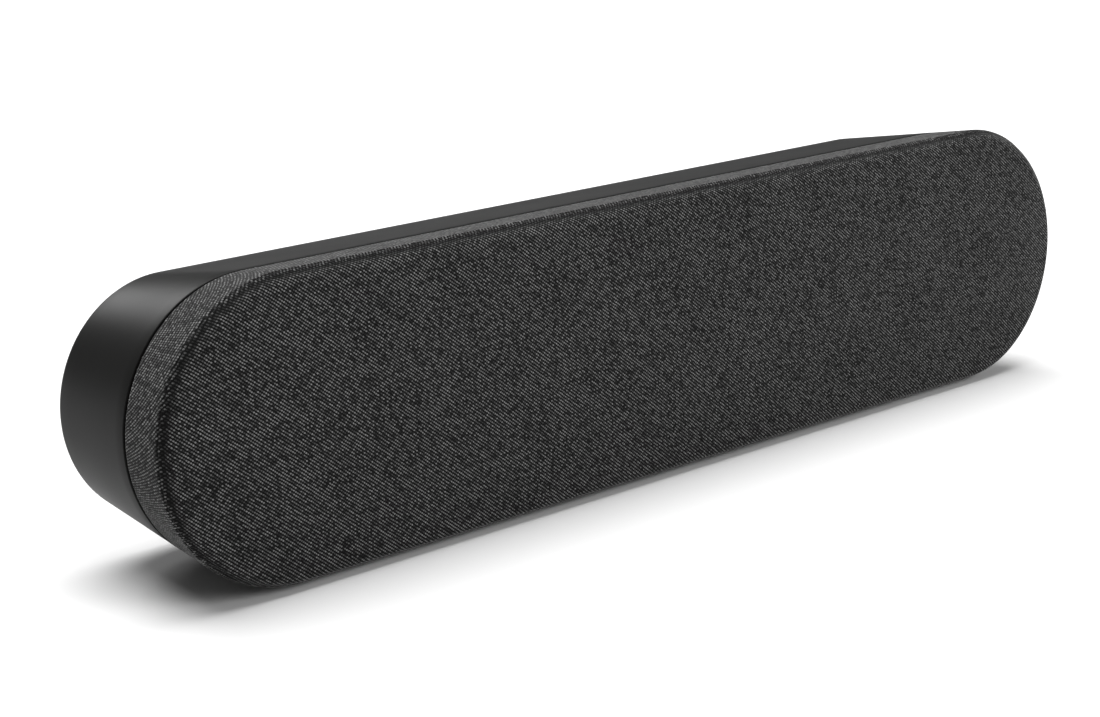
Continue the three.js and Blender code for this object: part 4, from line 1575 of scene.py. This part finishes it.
@dataclass(frozen=True)
class TweeterDome:
    """A soft dome with its rolled edge."""

    side: str
    sphere: float = 10.88
    front: float = -29.6
    rim: float = 7.9
    edge: float = 9.9
    thick: float = 0.5

    def build(self) -> bpy.types.Object:
        """Makes the dome on its moving body."""
        node = f"tweeter_{self.side}_dome"
        middle = middle_of(node)
        centre = (0.0, self.front + self.sphere)
        turn = -math.degrees(math.acos(self.rim / self.sphere))
        outer = arc(centre, self.sphere, -90, turn, 12)
        inner = arc(centre, self.sphere - self.thick, turn, -90, 12)
        seat = outer[-1][1]
        roll = arc(((self.rim + self.edge) / 2, seat), (self.edge - self.rim) / 2, 180, 360, 8)
        profile = [(0.0, outer[0][1]), *outer[1:], *roll[1:], (self.edge, seat + self.thick)]
        profile += [(inner[0][0], seat + self.thick), *inner[1:-1], (0.0, inner[-1][1])]
        dome = Sketch().turned(profile, (middle.x, 0, middle.z), 56).object("fine_" + node)
        return Berth(f"tweeter_{self.side}_moving", "paper", (node,)).admit(dome, PULP)


@dataclass(frozen=True)
class Gasket:
    """The foam cord between the baffle and the case."""

    track: Racetrack
    inner: float = 44.9
    outer: float = 46.9
    corner: float = 0.35

    def build(self) -> bpy.types.Object:
        """Makes the cord with rounded edges."""
        low, high = box_of("baffle_gasket")
        corner = self.corner
        profile = []
        corners = (
            ((self.outer - corner, low.y + corner), -90),
            ((self.outer - corner, high.y - corner), 0),
            ((self.inner + corner, high.y - corner), 90),
            ((self.inner + corner, low.y + corner), 180),
        )
        for centre, start in corners:
            profile += arc(centre, corner, start, start + 90, 4)
        cord = self.track.sweep(profile, 56, 8).object("foam_gasket")
        return Berth(ROOT, "rubber", ("baffle_gasket",)).admit(cord, RUBBER)


# ---- Sockets and buttons -------------------------------------------------------------------------
@dataclass(frozen=True)
class Softened:
    """A CAD node redrawn with its sharp edges eased."""

    node: str
    slot: str
    finish: Finish
    width: float = 0.25
    body: str = ROOT

    def build(self) -> bpy.types.Object:
        """Makes the eased copy and lets it stand for the node."""
        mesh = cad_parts[self.node].data.copy()
        sketch = bmesh.new()
        sketch.from_mesh(mesh)
        bmesh.ops.remove_doubles(sketch, verts=sketch.verts, dist=1e-7)
        bmesh.ops.dissolve_limit(
            sketch, angle_limit=math.radians(1), verts=sketch.verts, edges=sketch.edges
        )
        sketch.to_mesh(mesh)
        sketch.free()
        piece = eased(link("eased_" + self.node, mesh), self.width)
        return Berth(self.body, self.slot, (self.node,)).admit(piece, self.finish)


@dataclass(frozen=True)
class Socket:
    """A socket's mouth on the tray's floor."""

    node: str
    pocket: tuple[float, float]
    depth: float
    corner: float = 0.6  # of the body's own edges
    root: float = 0.1  # how far the tongue goes into the pocket's floor
    recess: float = 2.0  # from the mouth to the tongue
    key_root: float = 0.2
    key_recess: float = 0.4

    @property
    def mouth(self) -> Vector:
        """The middle of the socket's open end."""
        low, high = box_of(self.node)
        return Vector(((low.x + high.x) / 2, high.y, (low.z + high.z) / 2))

    def shell(self, corner: float, key: Sequence[Sequence[float]] = ()) -> bpy.types.Object:
        """The socket's body with a rounded pocket.

        Args:
            corner: The radius of the pocket's corners.
            key: Wedges left in the pocket's corners, each with its lowest and highest point across and up.

        Returns:
            The body.
        """
        low, high = box_of(self.node)
        mouth = self.mouth
        body = Sketch().block(low, high, self.corner).object(self.node + "_shell")
        width, height = (size / 2 for size in self.pocket)
        pocket = Sketch().block(
            (mouth.x - width, mouth.y - self.depth, mouth.z - height),
            (mouth.x + width, mouth.y + OVERLAP, mouth.z + height),
            corner,
        )
        combined(body, pocket, "DIFFERENCE")
        for x0, x1, z0, z1 in key:
            wedge = Sketch().block(
                (mouth.x + x0, mouth.y - self.depth - self.key_root, mouth.z + z0),
                (mouth.x + x1, mouth.y - self.key_recess, mouth.z + z1),
            )
            combined(body, wedge, "UNION")
        return eased(body, 0.18)

    def tongue(self, width: float, height: float, rise: float, name: str) -> bpy.types.Object:
        """The plastic tongue that carries the contacts."""
        mouth = self.mouth
        tongue = Sketch().block(
            (mouth.x - width / 2, mouth.y - self.depth - self.root, mouth.z + rise - height / 2),
            (mouth.x + width / 2, mouth.y - self.recess, mouth.z + rise + height / 2),
        )
        return Berth(ROOT, "inner_black").admit(eased(tongue.object(name), 0.25), SOCKET)


@dataclass(frozen=True)
class Contacts:
    """A row of gold contacts on a socket's tongue."""

    name: str
    socket: Socket
    count: int
    pitch: float
    size: tuple[float, float, float]
    rise: float
    recess: float = 2.4

    def build(self) -> bpy.types.Object:
        """Makes one contact in Geometry Nodes and repeats it along the tongue."""
        mouth = self.socket.mouth
        first = -self.pitch * (self.count - 1) / 2
        middle = mouth.y - self.recess - self.size[1] / 2
        across = [mouth.x + first + i * self.pitch for i in range(self.count)]
        places = [Vector((x, middle, mouth.z + self.rise)) for x in across]
        recipe = Recipe(self.name)
        width, length, height = (
            recipe.length(dial, size) for dial, size in zip(("Width", "Length", "Height"), self.size)
        )
        strip = recipe.add("GeometryNodeMeshCube", Size=recipe.graph.join(width, length, height))
        nose = recipe.add("GeometryNodeMeshCylinder", Vertices=12, Radius=height * 0.5, Depth=width)
        nose = recipe.add(
            "GeometryNodeTransform",
            Geometry=nose,
            Translation=recipe.graph.join(0.0, length * 0.5, 0.0),
            Rotation=(0.0, math.pi / 2, 0.0),
        )
        copies = recipe.scattered(recipe.joined(strip, nose))
        piece = recipe.run(points_mesh(self.name + "_places", places), copies, GOLD)
        return Berth(ROOT, "brass").admit(piece, None)


@dataclass(frozen=True)
class SocketRow:
    """The four sockets in the bay."""

    lens: tuple[tuple[float, float], ...] = (  # radius, and height over the socket's floor
        (0.0, -0.1),
        (1.6, -0.1),
        (1.6, 0.5),
        (1.4, 0.8),
        (0.8, 1.0),
        (0.0, 1.05),
    )
    jack_radius: float = 3.2
    jack_flare: tuple[float, float] = (0.5, 0.5)  # outwards, and behind the mouth
    pin_radius: float = 1.1
    pin_recess: float = 1.5
    pin_nose: tuple[tuple[float, float], ...] = (  # share of the radius, and place past the tip
        (1.0, -0.8),
        (0.9, -0.3),
        (0.55, 0.0),
        (0.0, 0.05),
    )
    sleeve_recess: float = 2.5
    sleeve_faces: tuple[float, float] = (0.05, 0.3)  # inwards from the jack's wall

    def build(self) -> None:
        """Makes every socket with its tongue and contacts."""
        hdmi = Socket("hdmi_port", pocket=(14.0, 4.8), depth=10.0)
        skirts = [(-7.1, -5.6, -2.5, -0.9), (5.6, 7.1, -2.5, -0.9)]
        Berth(ROOT, "steel", ("hdmi_port",)).admit(hdmi.shell(corner=0.5, key=skirts), TIN)
        hdmi.tongue(width=11.2, height=1.5, rise=0.0, name="video_tongue")
        strip = (0.5, 6.5, 0.16)
        Contacts("video_contacts_upper", hdmi, count=10, pitch=1.0, size=strip, rise=0.78).build()
        Contacts("video_contacts_lower", hdmi, count=9, pitch=1.0, size=strip, rise=-0.78).build()
        usb = Socket("usb_port", pocket=(12.6, 5.2), depth=10.0)
        Berth(ROOT, "steel", ("usb_port",)).admit(usb.shell(corner=0.35), TIN)
        usb.tongue(width=10.8, height=1.6, rise=1.0, name="service_tongue")
        strip = (1.2, 6.2, 0.2)
        Contacts("service_contacts", usb, count=4, pitch=2.5, size=strip, rise=0.15).build()
        optical = Socket("optical_port", pocket=(6.6, 6.6), depth=11.0)
        Berth(ROOT, "inner_black", ("optical_port",)).admit(optical.shell(corner=0.9), SOCKET)
        self.window(optical)
        self.jack(Socket("dc_jack", pocket=(6.4, 6.4), depth=11.0))

    def window(self, socket: Socket) -> None:
        """The light emitter's clear window at the bottom of the optical socket."""
        mouth = socket.mouth
        floor = mouth.y - socket.depth
        profile = [(radius, floor + height) for radius, height in self.lens]
        lens = Sketch().turned(profile, (mouth.x, 0, mouth.z), 32).object("optical_window")
        Berth(ROOT, "clear").admit(lens, GUIDE)

    def jack(self, socket: Socket) -> None:
        """The round power jack with its centre pin and spring sleeve."""
        low, high = box_of(socket.node)
        mouth = socket.mouth
        floor = mouth.y - socket.depth
        body = Sketch().block(low, high, 1.0).object("dc_jack_body")
        radius, (flare, start) = self.jack_radius, self.jack_flare
        hole = [(0, floor), (radius, floor), (radius, mouth.y - start)]
        hole += [(radius + flare, mouth.y + OVERLAP), (0, mouth.y + OVERLAP)]
        combined(body, Sketch().turned(hole, (mouth.x, 0, mouth.z), 48), "DIFFERENCE")
        Berth(ROOT, "inner_black", (socket.node,)).admit(eased(body, 0.2), SOCKET)
        tip = mouth.y - self.pin_recess
        root = floor - socket.root
        pin = [(0, root), (self.pin_radius, root)]
        pin += [(self.pin_radius * share, tip + ahead) for share, ahead in self.pin_nose]
        end = mouth.y - self.sleeve_recess
        outside, inside = (radius - inwards for inwards in self.sleeve_faces)
        sleeve = [(outside, floor + 0.1), (outside, end), (inside, end - 0.2), (inside, floor + 0.1)]
        metal = Sketch().turned(pin, (mouth.x, 0, mouth.z), 32).turned(sleeve, (mouth.x, 0, mouth.z), 48)
        Berth(ROOT, "steel").admit(metal.object("dc_jack_contacts"), TIN)


class Mark(Enum):
    """Generic symbols on the buttons, as strokes in millimetres.

    A stroke is an arc (centre, radius, start and end in degrees) or a line of points.
    """

    POWER = (
        ((0.0, 0.0), 1.25, 125.0, 415.0),
        ((0.0, 0.3), (0.0, 1.55)),
    )
    SOURCE = (
        ((0.0, 0.0), 1.35, -125.0, 125.0),
        ((-1.6, 0.0), (0.35, 0.0)),
        ((-0.35, 0.7), (0.35, 0.0), (-0.35, -0.7)),
    )


@dataclass(frozen=True)
class PushButton:
    """A round button with a dished cap and a printed symbol."""

    node: str
    mark: Mark
    cap_radius: float = 3.5
    flange_radius: float = 4.4
    flange_start: float = 8.1  # behind the stem's front end
    flange_depth: float = 1.4
    stem_radius: float = 2.0
    stem_chamfer: float = 0.3
    dish: float = 0.225
    dish_rim: float = 0.7  # from the cap's edge to where the dish would come level
    dish_start: float = 0.9  # from the cap's edge to the dish's own
    edge: tuple[tuple[float, float], ...] = ((0.0, 0.45), (0.12, 0.15), (0.4, 0.0))  # inwards and down
    stroke: float = 0.3
    ink: float = 0.04
    ink_root: float = 0.08  # how far the ink reaches into the cap

    def build(self) -> None:
        """Makes the button and its symbol on their own body."""
        low, high = box_of(self.node)
        middle = (low + high) / 2
        centre = (middle.x, 0, middle.z)
        top, cap = high.y, self.cap_radius
        front = low.y + self.flange_start
        back = front + self.flange_depth
        stem, chamfer = self.stem_radius, self.stem_chamfer
        profile = [(0, low.y), (stem - chamfer, low.y), (stem, low.y + chamfer)]
        profile += [(stem, front), (self.flange_radius, front), (self.flange_radius, back)]
        profile += [(cap, back), *((cap - inwards, top - down) for inwards, down in self.edge)]
        dished = [(cap - self.dish_start) * i / 6 for i in range(6, -1, -1)]
        profile += [(r, top - self.sunk(r)) for r in dished]
        button = Sketch().turned(profile, centre, 64).object(self.node + "_cap")
        Berth(self.node, "case_black", (self.node,)).admit(button, CASE)
        ink = Sketch()
        for stroke in self.strokes():
            self.draw(ink, stroke, Vector((middle.x, top, middle.z)))
        Berth(self.node, "clear").admit(ink.object(self.node + "_symbol"), INK)

    def sunk(self, radius: float) -> float:
        """How deep the dished cap lies at a distance from its middle."""
        return self.dish * max(1 - (radius / (self.cap_radius - self.dish_rim)) ** 2, 0)

    def strokes(self) -> list[list[tuple[float, float]]]:
        """The symbol's strokes as lists of points."""
        found = []
        for stroke in self.mark.value:
            if isinstance(stroke[1], tuple):
                found.append(list(stroke))
            else:
                centre, radius, start, end = stroke
                found.append(arc(centre, radius, start, end, 24))
        return found

    def draw(self, ink: Sketch, stroke: Sequence[tuple[float, float]], origin: Vector) -> None:
        """Adds one stroke as a thin raised band on the dished cap."""
        half = self.stroke / 2
        rows = []
        for i, (across, up) in enumerate(stroke):
            before = Vector(stroke[max(i - 1, 0)])
            after = Vector(stroke[min(i + 1, len(stroke) - 1)])
            along = (after - before).normalized()
            side = Vector((-along.y, along.x)) * half
            row = []
            for offset in (side, -side):
                # Seen from behind, the symbol's left is +X.
                x, z = -(across + offset.x), up + offset.y
                sunk = self.sunk(math.hypot(x, z))
                row.append(origin + Vector((x, self.ink - sunk, z)))
                row.append(origin + Vector((x, -self.ink_root - sunk, z)))
            rows.append([ink.mesh.verts.new(row[k]) for k in (0, 2, 3, 1)])
        for first, second in zip(rows, rows[1:]):
            for k in range(4):
                ink.mesh.faces.new([first[k], first[(k + 1) % 4], second[(k + 1) % 4], second[k]])
        ink.mesh.faces.new(rows[0])
        ink.mesh.faces.new(rows[-1])


# ---- CAD nodes that keep their shape -------------------------------------------------------------
KEPT_FINISHES: dict[str, Finish] = {
    "grille_frame": INNER,
    "front_baffle": INNER,
    "basket": INNER,
    "body": INNER,
    "radiator_frame": INNER,
    "diaphragm": ALUMINIUM,
    "weight": ZINC,
    "board": BOARD,
    "radio_shield": TIN,
    "heat_sink": ALUMINIUM,
    "capacitor_upper": FERRITE,
    "capacitor_lower": FERRITE,
    "light_pipe": GUIDE,
    "speaker_lead_left": RUBBER,
    "speaker_lead_right": RUBBER,
}


def dress_kept_nodes() -> None:
    """Gives every CAD node that still shows the finish that its name ends with."""
    for name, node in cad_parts.items():
        if node.hide_render:
            continue
        finish = next(f for ending, f in KEPT_FINISHES.items() if name.endswith(ending))
        node.data.materials.clear()
        node.data.materials.append(finish.material())
        LOG.info("%s keeps its shape and is dressed in %s", name, finish.name)


# ---- Studio --------------------------------------------------------------------------------------
@dataclass(frozen=True)
class SoftBox:
    """A square light that faces the bar."""

    name: str
    place: tuple[float, float, float]
    size: float
    power: float


@dataclass(frozen=True)
class Studio:
    """The table, the lights and the camera, in metres."""

    table_reach: float = 15000.0  # millimetres
    table_thickness: float = 40.0  # millimetres
    camera_place: tuple[float, float, float] = (-0.6233, -0.6434, 0.2581)
    camera_aim: tuple[float, float, float] = (-0.0315, -0.0002, 0.0437)
    camera_roll: float = -1.92  # degrees
    lens: float = 80.7
    ambient: float = 0.15
    sun_power: float = 4.6
    sun_spread: float = 60.0  # degrees
    sun_place: tuple[float, float, float] = (0.1, 0.3, 2.0)
    soft_boxes: tuple[SoftBox, ...] = (
        SoftBox("back", (0.25, 2.6, 1.45), 0.8, 24.0),
        SoftBox("front", (0.9, -2.6, 1.3), 1.6, 54.0),
    )
    soft_box_aim: tuple[float, float, float] = (0.0, 0.0, 0.05)

    def build(self) -> None:
        """Sets everything up."""
        self.table()
        self.lights()
        self.camera()

    def table(self) -> None:
        """A wide pale table."""
        reach = self.table_reach
        table = Sketch().block((-reach, -reach, -self.table_thickness), (reach, reach, 0)).object("table")
        table.data.materials.append(TABLE.material())

    def lights(self) -> None:
        """A broad overhead sun, two soft boxes and a dim room before a white backdrop."""
        world = bpy.data.worlds.new("studio")
        world.use_nodes = True
        world.node_tree.nodes.clear()
        graph = Graph(world.node_tree)
        white = (1.0, 1.0, 1.0)
        room = graph.node("ShaderNodeBackground", inputs={"Color": white, "Strength": self.ambient})
        backdrop = graph.node("ShaderNodeBackground", inputs={"Color": white, "Strength": 1.0})
        seen = graph.node("ShaderNodeLightPath").out("Is Camera Ray")
        sky = graph.node("ShaderNodeMixShader", inputs={0: seen, 1: room.out(), 2: backdrop.out()})
        graph.node("ShaderNodeOutputWorld", inputs={"Surface": sky.out()})
        bpy.context.scene.world = world
        sun = bpy.data.lights.new("overhead", "SUN")
        sun.energy = self.sun_power
        sun.angle = math.radians(self.sun_spread)
        self.hang(sun, Vector(self.sun_place), Vector((0, 0, 0)))
        for box in self.soft_boxes:
            light = bpy.data.lights.new(box.name, "AREA")
            light.size = box.size
            light.energy = box.power
            self.hang(light, Vector(box.place), Vector(self.soft_box_aim))

    def hang(self, light: bpy.types.Light, place: Vector, aim: Vector) -> None:
        """Puts a light at a place and points it at an aim."""
        lamp = bpy.data.objects.new(light.name, light)
        lamp.location = place
        lamp.rotation_mode = "QUATERNION"
        lamp.rotation_quaternion = (aim - place).to_track_quat("-Z", "Y")
        bpy.context.scene.collection.objects.link(lamp)

    def camera(self) -> None:
        """The camera, low in front of the bar's left end."""
        data = bpy.data.cameras.new("camera")
        data.sensor_width = 36.0
        data.lens = self.lens
        camera = bpy.data.objects.new("camera", data)
        place, aim = Vector(self.camera_place), Vector(self.camera_aim)
        camera.location = place
        camera.rotation_mode = "QUATERNION"
        level = (aim - place).to_track_quat("-Z", "Y")
        camera.rotation_quaternion = level @ Quaternion((0, 0, 1), math.radians(self.camera_roll))
        bpy.context.scene.collection.objects.link(camera)
        scene = bpy.context.scene
        scene.camera = camera
        scene.view_settings.view_transform = "Standard"


def main() -> None:
    """Builds the soundbar around its frame, and the studio around the soundbar."""
    logging.basicConfig(level=logging.INFO, format="%(name)s: %(message)s")
    track = Racetrack.from_frame()
    GrilleCloth(track).build()
    RearCase(track).build()
    Gasket(track).build()
    for side in ("left", "right"):
        RubberFoot(side, track).build()
        Woofer(side).build()
        TweeterDome(side).build()
    radiator_surround = Flexure(
        "radiator_surround",
        "radiator_moving",
        HalfRoll(inner=23.4, outer=29.0, outer_lip=31.0).profile(),
        held=28.6,
        carried=23.8,
        slot="rubber",
        finish=RUBBER,
        half_span=29.0,
    )
    radiator_surround.build()
    HousingScrews().build()
    WallInserts().build()
    Softened("io_tray", "inner_black", TRAY, width=0.4).build()
    SocketRow().build()
    PushButton("power_button", Mark.POWER).build()
    PushButton("source_button", Mark.SOURCE).build()
    dress_kept_nodes()
    Studio().build()


if __name__ == "__main__":
    main()
